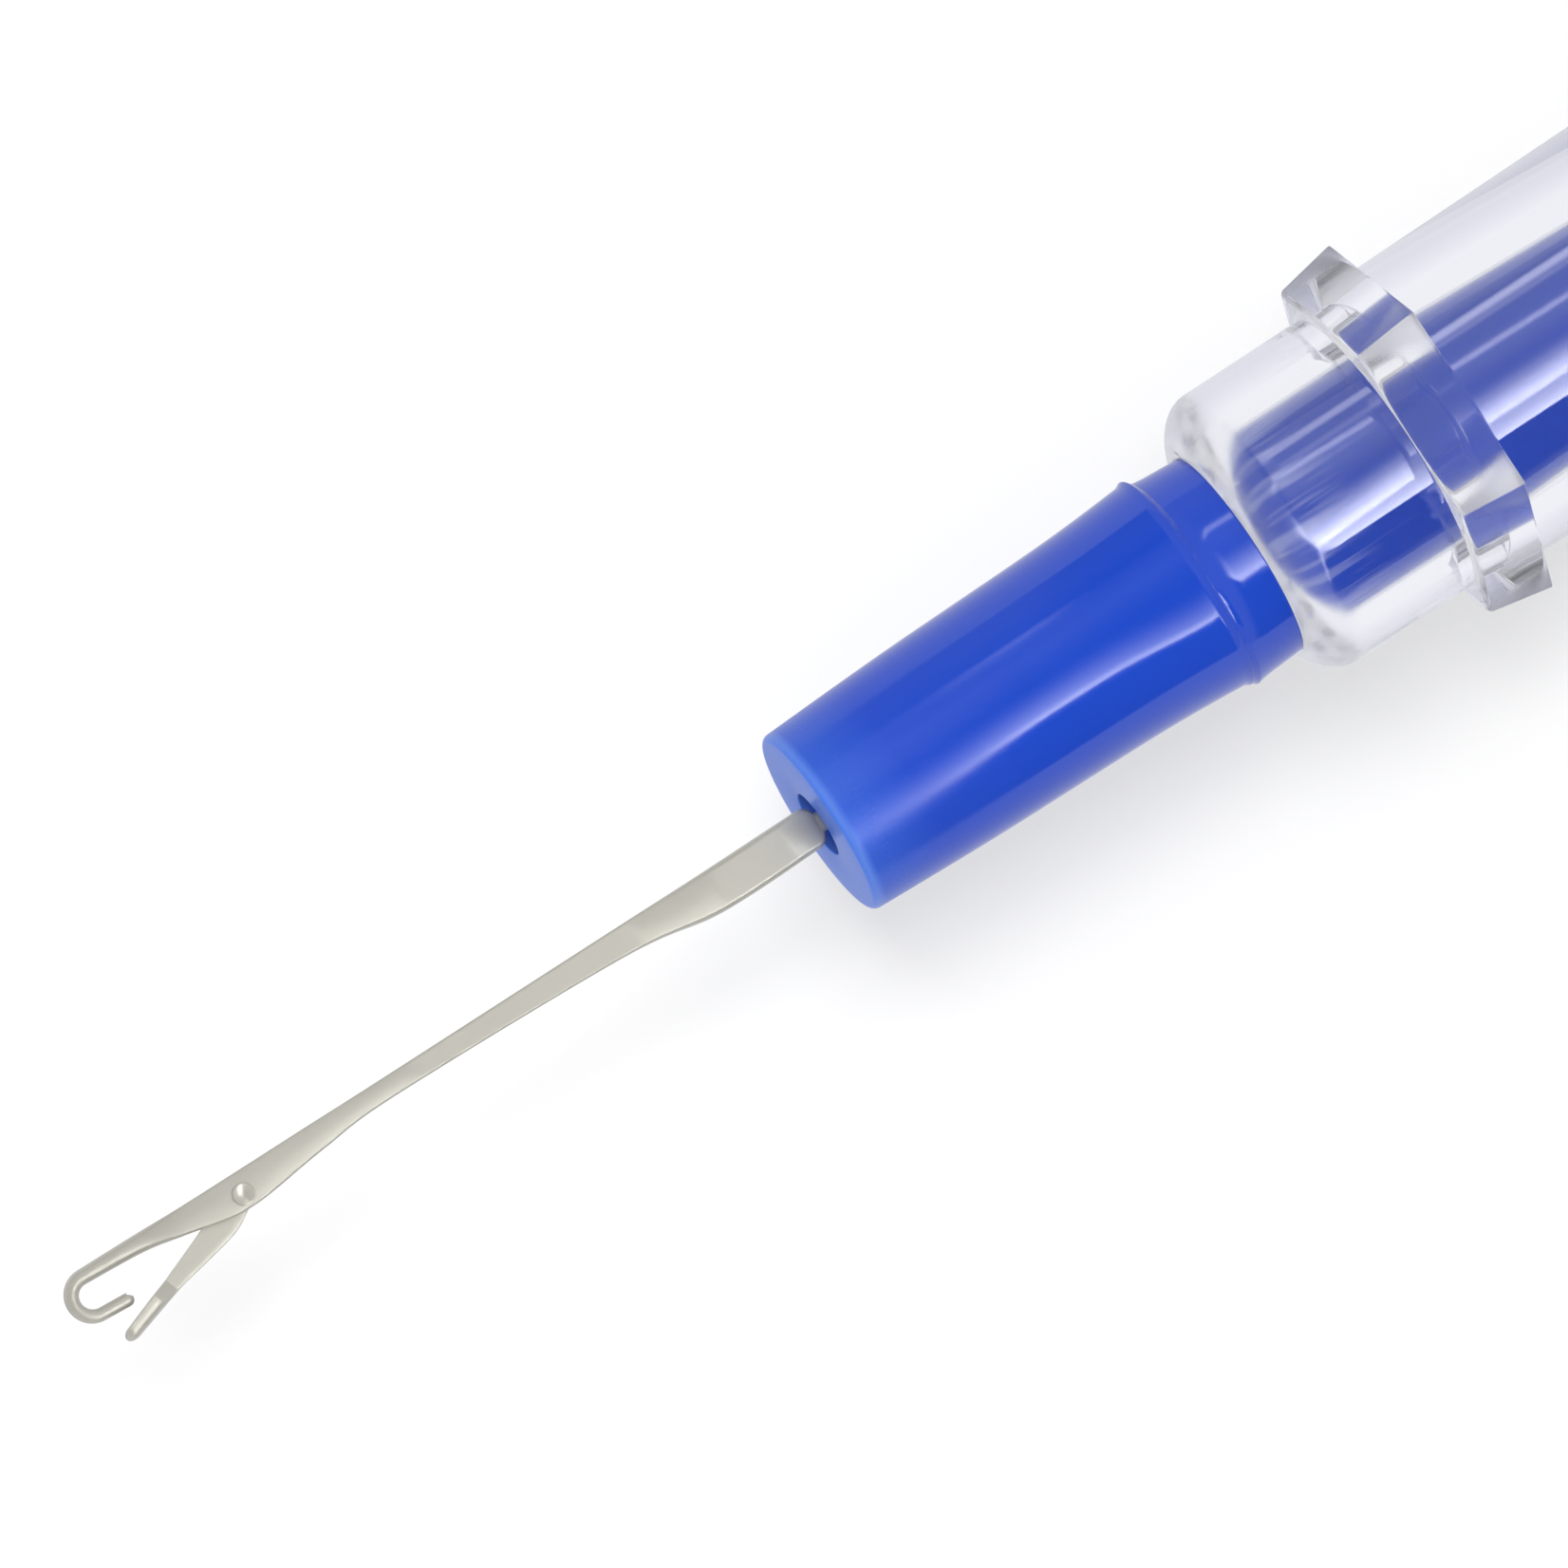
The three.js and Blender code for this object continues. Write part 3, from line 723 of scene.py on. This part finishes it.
def neck_radius(sizes, depth):
    """The holder's radius from the rim to the core: a fillet, the taper of the neck and the shoulder."""
    rim_end = sizes.nose_length + sizes.rim_width
    along = risen(depth, rim_end, MOUTH_DEPTH - rim_end)
    shoulder = max(0, depth - MOUTH_DEPTH - sizes.plug_length) / sizes.shoulder_length
    fillet = max(0, 1 - (depth - rim_end) / sizes.neck_fillet)
    radius = between(sizes.neck_front, sizes.neck_rear, along) / 2
    radius += (sizes.core_front - sizes.neck_rear) / 2 * shoulder
    return radius + sizes.neck_rise * fillet**2


def tang_radius(sizes, extra):
    """The outline of the needle's tang as a radius at each angle."""
    shank = NEEDLE_PLACES[0]
    high = (shank.back - shank.reach) * MM + extra
    low = -(shank.front + shank.reach) * MM + extra
    half = shank.thickness / 2 * MM + extra

    def radius(angle):
        across = math.cos(angle)
        up = abs(math.sin(angle))
        side = (high if across > 0 else low) / max(abs(across), 1e-6)
        top = half / max(up, 1e-6)
        return smooth_min(side, top, sizes.edge)

    return radius


def holder_profile(sizes):
    """From the bottom of the shank's hole, out of the recess, over the nose and back to the core's end."""
    face = sizes.face / 2
    recess = sizes.recess / 2
    hole = tang_radius(sizes, sizes.hole_gap)
    nose = [face, sizes.belly / 2, sizes.flare / 2, sizes.flare_end / 2]
    places = [sizes.face_rounding, sizes.belly_depth, sizes.flare_depth, sizes.nose_length]
    rim_end = sizes.nose_length + sizes.rim_width
    plug_end = MOUTH_DEPTH + sizes.plug_length
    core = plug_end + sizes.shoulder_length
    middle = core + sizes.core_middle_length
    end = (CORE_END_DEPTH - sizes.core_rounding, sizes.core_rear / 2 - sizes.core_rounding)
    rim_top = (sizes.nose_length + sizes.rim_width / 2, sizes.rim / 2 - sizes.edge)
    neck = spread(rim_end, core, NECK_RINGS)
    return [
        (sizes.hole_depth, hole),
        (sizes.recess_depth, hole),
        *arc((sizes.recess_depth - sizes.edge, recess - sizes.edge), sizes.edge, 0, 90, 4),
        *arc((sizes.edge, recess + sizes.edge), sizes.edge, 270, 180, 4),
        *arc((sizes.face_rounding, face - sizes.face_rounding), sizes.face_rounding, 180, 90),
        *[(catmull_rom(places, t), catmull_rom(nose, t)) for t in spread(0, 3, NOSE_RINGS)[1:]],
        *arc(rim_top, sizes.edge, 90 + RIM_CREST, 90 - RIM_CREST),
        *aside(sizes, [(depth, neck_radius(sizes, depth)) for depth in neck]),
        *aside(sizes, [(middle, sizes.core_middle / 2), *arc(end, sizes.core_rounding, 90, 0)]),
    ]


def hexagon(corner, rounding):
    """The radius at each angle of a six-sided outline with a corner at +Y."""
    half = math.radians(30)
    flat = corner * math.cos(half)
    centre = (flat - rounding) / math.cos(half)

    def radius(angle):
        from_flat = (math.degrees(angle) % 60) - 30
        if flat * math.tan(math.radians(abs(from_flat))) < (flat - rounding) * math.tan(half):
            return flat / math.cos(math.radians(from_flat))
        from_corner = math.radians(30 - abs(from_flat))
        reach = rounding**2 - (centre * math.sin(from_corner)) ** 2
        return centre * math.cos(from_corner) + math.sqrt(max(reach, 0))

    return radius


def collar_angles(sizes):
    """Even angles, with more of them at the collar's corners."""
    spread = math.degrees(sizes.collar_corner * math.tan(math.radians(30)) / (sizes.collar_rear / 2))
    near = [spread * step / 3 for step in range(-4, 5)]
    corners = [corner + angle for corner in range(0, 360, 60) for angle in near]
    even = [step for step in range(0, 360, HANDLE_STEP) if step % 60]
    return [math.radians(angle) for angle in sorted(corners + even)]


def handle_profile(sizes, holder):
    """From the bore's end, out through the mouth, over the lip and the collar and back to the closed end."""
    mouth = holder.neck_rear / 2 + sizes.mouth_gap
    front = sizes.front / 2
    plug_end = MOUTH_DEPTH + holder.plug_length
    core = plug_end + holder.shoulder_length
    middle = core + holder.core_middle_length
    bore_end = CORE_END_DEPTH + sizes.bore_end_gap
    bore_rear = holder.core_rear / 2 + sizes.bore_gap
    lip_height = (front - mouth - sizes.lip_edge) / (1 - math.sin(sizes.lip_start))
    lip_run = math.cos(sizes.lip_start)
    lip = arc((0, 0), 1, math.degrees(sizes.lip_start), 90, 3 * CORNER_STEPS)
    collar = MOUTH_DEPTH + sizes.front_length
    grip = collar + sizes.collar_length
    rounding = sizes.collar_rounding
    rear_rounding = sizes.collar_rear_rounding
    front_edge = (collar + rounding, sizes.collar_front / 2 - rounding)
    rear_edge = (grip - rear_rounding, sizes.collar_rear / 2 - rear_rounding)
    grip_front = sizes.grip_front / 2
    end = (HANDLE_END_DEPTH - sizes.end_rounding, sizes.grip_rear / 2 - sizes.end_rounding)
    six_sided = [
        *arc(front_edge, rounding, 180, 90 + COLLAR_SLOPE),
        *arc(rear_edge, rear_rounding, 90 - COLLAR_SLOPE, 0, 4),
    ]
    bore = [
        *arc((bore_end - holder.core_rounding, bore_rear - holder.core_rounding), holder.core_rounding, 0, 90),
        (middle, holder.core_middle / 2 + sizes.bore_gap),
        (core + sizes.bore_gap, holder.core_front / 2 + sizes.bore_gap),
        (plug_end + sizes.bore_gap, mouth),
        *arc((MOUTH_DEPTH + sizes.lip_edge, mouth + sizes.lip_edge), sizes.lip_edge, 270, 180, 4),
    ]
    return [
        *aside(holder, bore),
        *[(MOUTH_DEPTH + sizes.lip_length * (1 - x / lip_run), front - lip_height * (1 - y)) for x, y in lip],
        *arc((collar - sizes.front_fillet, front + sizes.front_fillet), sizes.front_fillet, 270, 360, 3),
        *[(depth, hexagon(corner, sizes.collar_corner)) for depth, corner in six_sided],
        *arc((grip + sizes.rear_fillet, grip_front + sizes.rear_fillet), sizes.rear_fillet, 180, 270, 5),
        *arc(end, sizes.end_rounding, 90, 0, 2 * CORNER_STEPS),
    ]


def section(station):
    """The ring of one station of the needle: a bar's section with rounded corners."""
    rounding = min(station.corner, station.half_height, station.half_thickness)
    across = Vector((-math.sin(station.heading), math.cos(station.heading)))
    points = []
    for i in range(WIRE_POINTS):
        angle = (i + 0.5) / WIRE_POINTS * 2 * math.pi
        side = math.copysign(station.half_height - rounding, math.cos(angle)) + rounding * math.cos(angle)
        up = math.copysign(station.half_thickness - rounding, math.sin(angle)) + rounding * math.sin(angle)
        place = station.centre + across * side
        points.append(Vector((FACE_X + place.x, place.y, AXIS_Z + up)))
    return points


def needle_stations(sizes):
    """The stations of the needle from its shank to the end of the hook's tip."""
    bend = sizes.hook_bend + sizes.hook_wire / 2
    bend_centre = Vector((bend - sizes.hook_reach, sizes.hook_back - bend))
    back = sizes.hook_back / MM
    wire = sizes.hook_wire / MM
    wire_end = Place(-bend_centre.x / MM, back, back - wire, wire, wire / 2)
    places = [*NEEDLE_PLACES, wire_end]
    shank = Place(*[value * MM for value in places[0]])
    middle = Vector((0, (shank.back + shank.front) / 2))
    full = (shank.back - shank.front) / 2
    half = shank.thickness / 2
    tang_end = middle + Vector((sizes.tang_depth, 0))
    stations = [Station(tang_end, math.pi, full - shank.reach, half, shank.corner)]
    for angle in spread(0, math.radians(SHOULDER_TURN), CORNER_STEPS):
        centre = middle - Vector((shank.reach * (1 - math.cos(angle)), 0))
        rise = full - shank.reach * (1 - math.sin(angle))
        stations.append(Station(centre, math.pi, rise, half, shank.corner))
    last = len(places) - 1
    for position in spread(0, last, last * STATION_STEPS):
        at = Place(*[catmull_rom(values, position) * MM for values in zip(*places)])
        centre = Vector((-at.reach, (at.back + at.front) / 2))
        stations.append(Station(centre, math.pi, (at.back - at.front) / 2, at.thickness / 2, at.corner))
    bend_end = 3 * QUARTER - sizes.tip_slope
    for along in spread(0, 1, BEND_STEPS)[1:]:
        angle = between(QUARTER, bend_end, along)
        half = between(sizes.hook_wire, sizes.tip_wire, along) / 2
        centre = bend_centre + sizes.hook_bend * step_to(angle)
        stations.append(Station(centre, angle + QUARTER, half, half, half))
    heading = bend_end + QUARTER
    forward = step_to(heading)
    half = sizes.tip_wire / 2
    tip = stations[-1].centre + forward * (sizes.tip_length - half)
    for angle in spread(0, QUARTER, 2 * CORNER_STEPS)[:-1]:
        around = half * math.cos(angle)
        stations.append(Station(tip + forward * half * math.sin(angle), heading, around, around, around))
    return stations


def plate(name, outline, thickness):
    """A flat closed plate over an outline of points (depth, side), centred on the needle's middle plane."""
    heights = (AXIS_Z - thickness / 2, AXIS_Z + thickness / 2)
    return skinned(name, [[Vector((FACE_X + x, y, height)) for x, y in outline] for height in heights])


def slot_outline(sizes):
    """The slot for the latch: round about the rivet, and open to the front edge on both sides of it."""
    pivot = Vector((PIVOT.x - FACE_X, PIVOT.y))
    headings = (math.degrees(sizes.slot_open), math.degrees(sizes.slot_closed))
    rounded = arc(pivot, sizes.slot_radius, headings[0] + 90, headings[1] - 90, SLOT_STEPS)
    rear, front = [
        Vector(point) + sizes.slot_reach * step_to(heading)
        for point, heading in ((rounded[0], sizes.slot_open), (rounded[-1], sizes.slot_closed))
    ]
    return [tuple(rear), *rounded, tuple(front), (pivot.x, pivot.y - sizes.slot_reach)]


def lathe_z(name, profile, centre):
    """A mesh turned about an upright line, from a profile of (height, radius)."""
    angles = even_angles(RIVET_STEP)
    rings = [[centre + Vector((r * math.cos(a), r * math.sin(a), h)) for a in angles] for h, r in profile]
    return skinned(name, rings)


def rivet_profile(sizes, seat):
    """The rivet's lower head, pin and upper head. The heads are low, with a dimple in their middle."""
    edge = sizes.rivet_edge
    dimple = sizes.rivet_head / 2 - edge
    sphere = (dimple**2 + sizes.rivet_dimple**2) / (2 * sizes.rivet_dimple)
    reach = math.degrees(math.asin(dimple / sphere))
    centre = seat + sizes.rivet_height - sizes.rivet_dimple + sphere
    upper = [(seat + sizes.rivet_height - edge + h, dimple + r) for h, r in arc((0, 0), edge, 90, 25, 6)]
    upper += arc((centre, 0), sphere, 180 - reach, 179, 16)
    lower = [(-h, r) for h, r in reversed(upper)]
    pin = sizes.rivet_pin / 2
    return [*lower, (-seat, pin), (seat, pin), *upper]


def latch_section(sizes, along):
    """One ring of the latch, about its own pivot: a thin blade that opens into a hollow spoon."""
    spoon_start = sizes.reach - sizes.spoon_length
    tip_start = sizes.reach - sizes.tip_width / 2
    into = risen(along, spoon_start, sizes.spoon_length)
    flare = risen(along, spoon_start, sizes.flare_length)
    width = between(sizes.thickness, sizes.spoon_width, flare)
    narrowing = risen(along - sizes.flare_length, spoon_start, tip_start - spoon_start)
    width += (sizes.tip_width - sizes.spoon_width) * narrowing
    back = between(sizes.spoon_root, sizes.spoon_end, into) - sizes.rim
    front = -sizes.rim
    if along < spoon_start:
        places = [0, sizes.bulge_length, sizes.waist_length, spoon_start]
        widths = [sizes.tail, sizes.bulge, sizes.waist, sizes.spoon_root - sizes.rim]
        forward = max(0, along)
        index = max(i for i in range(3) if places[i] <= forward)
        position = index + (forward - places[index]) / (places[index + 1] - places[index])
        back = catmull_rom(widths, position)
        front = -between(sizes.tail, sizes.rim, forward / spoon_start)
    shrink = 1
    if along < 0:
        shrink = math.sqrt(max(0, 1 - (along / sizes.tail) ** 2))
    if along > tip_start:
        shrink = math.sqrt(max(0, 1 - ((along - tip_start) / (sizes.reach - tip_start)) ** 2))
    middle = (front + back) / 2
    half_depth = (back - front) / 2 * shrink
    half_width = width / 2 * (shrink if along > 0 else 1)
    hollow = sizes.cup_depth * min(1, max(0, into - HOLLOW_START) / HOLLOW_RISE) * shrink
    roundness = between(BLADE_ROUNDNESS, SPOON_ROUNDNESS, flare)
    return latch_ring(along, middle, half_depth, half_width, hollow, roundness, sizes.cup_wall)


def latch_ring(along, middle, half_depth, half_width, hollow, roundness, wall):
    """The points of one ring: the outside from rim to rim, and back along the hollow."""
    points = []
    for i in range(LATCH_POINTS + 1):
        angle = math.pi * i / LATCH_POINTS
        across = math.copysign(abs(math.cos(angle)) ** roundness, math.cos(angle))
        depth = math.sin(angle) ** roundness
        points.append((along, middle + half_depth * (2 * depth - 1), half_width * across))
    inner = max(half_width - wall, half_width * LEAST_HOLLOW)
    for i in range(1, LATCH_POINTS):
        angle = math.pi * (1 - i / LATCH_POINTS)
        floor = middle - half_depth + hollow * math.sin(angle) ** HOLLOW_ROUNDNESS
        points.append((along, floor, inner * math.cos(angle)))
    return points


def latch_rings(sizes):
    """The rings of the latch, turned to its heading at rest and moved to the rivet."""
    spoon_start = sizes.reach - sizes.spoon_length
    spoon_full = spoon_start + sizes.flare_length
    tip_start = sizes.reach - sizes.tip_width / 2
    rounded = spread(0, QUARTER, END_RINGS)[:-1]
    stops = [-sizes.tail * math.cos(angle) for angle in rounded]
    stops += spread(0, spoon_start, BLADE_RINGS)
    stops += spread(spoon_start, spoon_full, FLARE_RINGS)[1:]
    stops += spread(spoon_full, tip_start, SPOON_RINGS)[1:]
    stops += [between(tip_start, sizes.reach, math.sin(angle)) for angle in rounded[1:]]
    # the first ring keeps a little width, so that its faces have an area
    stops[0] *= 0.999
    turned_to = Matrix.Rotation(sizes.heading, 3, "Z")
    return [[PIVOT + turned_to @ Vector(point) for point in latch_section(sizes, along)] for along in stops]


class KNITPICKER_OT_holder(bpy.types.Operator):
    """Builds the blue needle holder"""

    bl_idname = "knit_picker.holder"
    bl_label = "Needle Holder"

    def execute(self, context):
        sizes = settings().holder
        piece = turned("blue_holder", holder_profile(sizes), even_angles(HOLDER_STEP))
        dress(piece, blue_plastic(), "blue_plastic", "tool", "needle_holder")
        return {"FINISHED"}


class KNITPICKER_OT_handle(bpy.types.Operator):
    """Builds the clear handle with its collar"""

    bl_idname = "knit_picker.handle"
    bl_label = "Clear Handle"

    def execute(self, context):
        sizes = settings().handle
        profile = handle_profile(sizes, settings().holder)
        piece = turned("clear_sleeve", profile, collar_angles(sizes))
        dress(piece, clear_plastic(), "clear_plastic", "tool", "clear_handle")
        return {"FINISHED"}


class KNITPICKER_OT_needle(bpy.types.Operator):
    """Builds the hook needle with the slot for its latch"""

    bl_idname = "knit_picker.needle"
    bl_label = "Hook Needle"

    def execute(self, context):
        sizes = settings().needle
        piece = skinned("steel_needle", [section(station) for station in needle_stations(sizes)])
        cut(piece, plate("latch_slot", slot_outline(sizes), sizes.slot_width))
        dress(piece, steel("needle_steel"), "needle_steel", "tool", "hook_needle")
        return {"FINISHED"}


class KNITPICKER_OT_latch(bpy.types.Operator):
    """Builds the latch with its spoon"""

    bl_idname = "knit_picker.latch"
    bl_label = "Latch"

    def execute(self, context):
        piece = skinned("steel_latch", latch_rings(settings().latch))
        dress(piece, steel("latch_steel", brightness=1.02), "latch_steel", "latch", "latch")
        return {"FINISHED"}


class KNITPICKER_OT_rivet(bpy.types.Operator):
    """Builds the rivet that the latch turns on"""

    bl_idname = "knit_picker.rivet"
    bl_label = "Latch Rivet"

    def execute(self, context):
        profile = rivet_profile(settings().latch, NEEDLE_TOP - PIVOT.z)
        piece = lathe_z("steel_rivet", profile, PIVOT)
        material = steel("rivet_steel", brightness=1.1, roughness=0.7)
        dress(piece, material, "rivet_steel", "tool", "latch_rivet")
        return {"FINISHED"}


def add_camera(stage, target):
    """The camera, from the photograph's angle."""
    along = Vector((math.cos(stage.view_tilt), 0, math.sin(stage.view_tilt)))
    side = Vector((0, 1, 0))
    right = along * math.cos(stage.view_roll) - side * math.sin(stage.view_roll)
    up = along * math.sin(stage.view_roll) + side * math.cos(stage.view_roll)
    back = right.cross(up)
    lens = bpy.data.cameras.new("view")
    lens.lens = lens.sensor_width * stage.view_distance / stage.view_width
    lens.clip_end = CLIP_END
    camera = linked("view", lens)
    camera.matrix_world = Matrix((right, up, back)).transposed().to_4x4()
    camera.location = target + back * stage.view_distance
    bpy.context.scene.camera = camera


def add_lamp(name, stage, target, heading, size, strength):
    """A square lamp that faces the tool, and that nothing shiny shows. At heading 0 it is right above."""
    light = bpy.data.lights.new(name, "AREA")
    light.size = size
    light.energy = strength * (size * math.pi) ** 2
    lamp = linked(name, light)
    across = Vector((1, 0, 0))
    towards = Vector((0, math.sin(heading), math.cos(heading)))
    lamp.matrix_world = Matrix((across, towards.cross(across), towards)).transposed().to_4x4()
    lamp.location = target + towards * stage.lamp_distance
    lamp.visible_camera = lamp.visible_glossy = lamp.visible_transmission = False
    return lamp


def floor_material(stage):
    """A plain pale floor. The camera sees it white with the tool's shadow. Metal and glass see a painted
    shadow
    instead: it is darker as seen straight through the handle, and in reflections it gets lighter to both sides
    of the tool."""
    material, build = new_material("pale_floor")
    shade = build.node("BsdfDiffuse", inputs={"Color": (*[stage.floor_shade] * 3, 1)})
    glow = build.node("Emission", inputs={"Strength": build.ray("Is Camera Ray") * stage.floor_glow})
    floor = build.node("AddShader", inputs={0: shade, 1: glow})
    # Painted shadow on the floor that metal and glass see: darkest straight through the handle, dark right
    # under the tool, lighter to both sides
    beside = build.fade(build.math("ABSOLUTE", build.place("Y"), 0), 0, FLOOR_SHADOW_FADE)
    lit = build.deeper("Glossy Depth", 0) * (beside * (1 - stage.floor_near) + stage.floor_near)
    tint = build.mix(lit, stage.floor_painted_shadow, stage.floor_beside)
    plain = build.node("Emission", inputs={"Color": tint})
    surface = build.node("MixShader", inputs={0: build.shiny_ray(), 1: floor, 2: plain})
    build.node("OutputMaterial", inputs={"Surface": surface})
    return material


def add_floor(stage):
    """The floor that the tool lies on."""
    half = stage.floor_size / 2
    corners = [(-half, -half, 0), (half, -half, 0), (half, half, 0), (-half, half, 0)]
    mesh = bpy.data.meshes.new("floor")
    mesh.from_pydata(corners, [], [(0, 1, 2, 3)])
    mesh.materials.append(floor_material(stage))
    floor = linked("floor", mesh)
    floor.location.z = -stage.floor_gap
    return floor


def near_side(build, stage, slanted, over_handle):
    """The softbox on the near side: a glow that grows to a bright edge, and stops there."""
    glow = build.band(slanted, *NEAR_GLOW)
    near = glow * glow * stage.glow_light * (over_handle + 1)
    near = near + build.band(slanted, *NEAR_EDGE) * (1 - over_handle * EDGE_LOSS) * stage.edge_light
    return near * build.band(slanted, *NEAR_END)


def far_side(build, stage, across, beyond, over_handle, x):
    """The far side: a dim soft light, a veil beyond the handle, and two narrow lights over it."""
    over_neck = build.ramp(x, *OVER_NECK)
    behind_collar = build.ramp(x, *BEHIND_COLLAR)
    box = build.band(across, *FAR_BOX) + build.band(across, *FAR_BELOW) * BELOW_SHARE
    veil = build.band(across, *VEIL) * (over_handle - over_neck * VEIL_LOSS)
    strips = over_handle * build.band(across - beyond * stage.strip_slant, *WIDE_STRIP)
    thin = build.band(across + behind_collar * THIN_STEP, *THIN_STRIP)
    strips = strips + over_handle * (1 - over_neck) * thin * THIN_SHARE
    strips = strips * (behind_collar * COLLAR_GAIN + 1)
    return box * stage.box_light + veil * stage.veil_light + strips * stage.strip_light


def add_world(stage):
    """The studio that shiny surfaces reflect, with a light on each side and plain ends. The camera sees white,
    light that was caught inside the clear handle is nearly white, and matt surfaces get even light."""
    world = bpy.data.worlds.new("surroundings")
    world.use_nodes = True
    world.node_tree.nodes.clear()
    build = Shade(world.node_tree)
    place = build.node("TexCoord", output="Generated")
    x, y, z = [build.node("SeparateXYZ", inputs={"Vector": place}, output=axis) for axis in "XYZ"]
    across = build.math("ARCTAN2", 0 - y, z)
    beyond = x - math.sin(stage.view_tilt)
    over_handle = build.ramp(x, *OVER_HANDLE)
    slanted = across + beyond * stage.light_slant
    slanted = slanted + build.ramp(beyond, *HANDLE_TURN) * HANDLE_STEP_ASIDE
    slanted = slanted + build.ramp(x, *BEHIND_COLLAR) * COLLAR_STEP_ASIDE
    near = near_side(build, stage, slanted, over_handle)
    far = far_side(build, stage, across, beyond, over_handle, x)
    ends = 1 - build.ramp(x, *HOOK_END) * build.ramp(x, *HANDLE_END)
    studio = (near + far + stage.dark_light) * (1 - ends) + ends * stage.end_light
    through = build.deeper("Transmission Depth", 1) * build.ramp(x, *SEEN_THROUGH)
    studio = studio * (1 - through) + through * stage.through_light
    camera = build.ray("Is Camera Ray")
    in_glass = build.ray("Is Transmission Ray")
    shiny = build.shiny_ray()
    caught = build.deeper("Glossy Depth", 1) * in_glass
    white = camera + shiny * caught * stage.caught_light
    matt = (1 - build.math("MAXIMUM", camera, shiny)) * (in_glass * (stage.sky_in_glass - 1) + 1)
    even = build.band(across, *FILL) * stage.side_fill + stage.sky
    strength = white + shiny * (1 - caught) * studio + matt * even
    sky = build.node("Background", inputs={"Color": (1, 1, 1, 1), "Strength": strength})
    build.node("OutputWorld", inputs={"Surface": sky})
    bpy.context.scene.world = world


class KNITPICKER_OT_stage(bpy.types.Operator):
    """Sets up the camera, the floor, the surroundings and the lights"""

    bl_idname = "knit_picker.stage"
    bl_label = "Stage"

    def execute(self, context):
        stage = settings().stage
        target = Vector((FACE_X + stage.target_depth, stage.target_side, AXIS_Z))
        add_camera(stage, target)
        floor = add_floor(stage)
        add_world(stage)
        add_lamp("key", stage, target, stage.key_turn, stage.key_size, stage.key_light)
        size = stage.floor_lamp_size
        lamp = add_lamp("floor_key", stage, target, stage.floor_lamp_turn, size, stage.floor_light)
        lamp.light_linking.receiver_collection = bpy.data.collections.new("floor_only")
        lamp.light_linking.receiver_collection.objects.link(floor)
        cycles = bpy.context.scene.cycles
        cycles.max_bounces = cycles.transmission_bounces = cycles.glossy_bounces = BOUNCES
        bpy.context.scene.view_settings.view_transform = "Standard"
        return {"FINISHED"}


OPERATORS = (
    KNITPICKER_OT_holder,
    KNITPICKER_OT_handle,
    KNITPICKER_OT_needle,
    KNITPICKER_OT_latch,
    KNITPICKER_OT_rivet,
    KNITPICKER_OT_stage,
)


class KNITPICKER_PT_panel(bpy.types.Panel):
    """Lists the pieces and their sizes"""

    bl_idname = "KNITPICKER_PT_panel"
    bl_label = "Knit Picker"
    bl_space_type = "VIEW_3D"
    bl_region_type = "UI"
    bl_category = "Knit Picker"

    def draw(self, context):
        for operator in OPERATORS:
            self.layout.operator(operator.bl_idname)
        for name in KnitPickerSettings.__annotations__:
            group = getattr(settings(), name)
            box = self.layout.box()
            box.label(text=name.capitalize())
            for key in type(group).__annotations__:
                box.prop(group, key)


GROUPS = (HolderSizes, HandleSizes, NeedleSizes, LatchSizes, Finishes, StageSizes)
CLASSES = (*GROUPS, KnitPickerSettings, *OPERATORS, KNITPICKER_PT_panel)


def register():
    for group in GROUPS:
        name_properties(group)
    for one in CLASSES:
        bpy.utils.register_class(one)
    bpy.types.Scene.knit_picker = PointerProperty(type=KnitPickerSettings)


def unregister():
    del bpy.types.Scene.knit_picker
    for one in reversed(CLASSES):
        bpy.utils.unregister_class(one)


def main():
    register()
    bpy.ops.knit_picker.holder()
    bpy.ops.knit_picker.handle()
    bpy.ops.knit_picker.needle()
    bpy.ops.knit_picker.latch()
    bpy.ops.knit_picker.rivet()
    bpy.ops.knit_picker.stage()


if __name__ == "__main__":
    main()
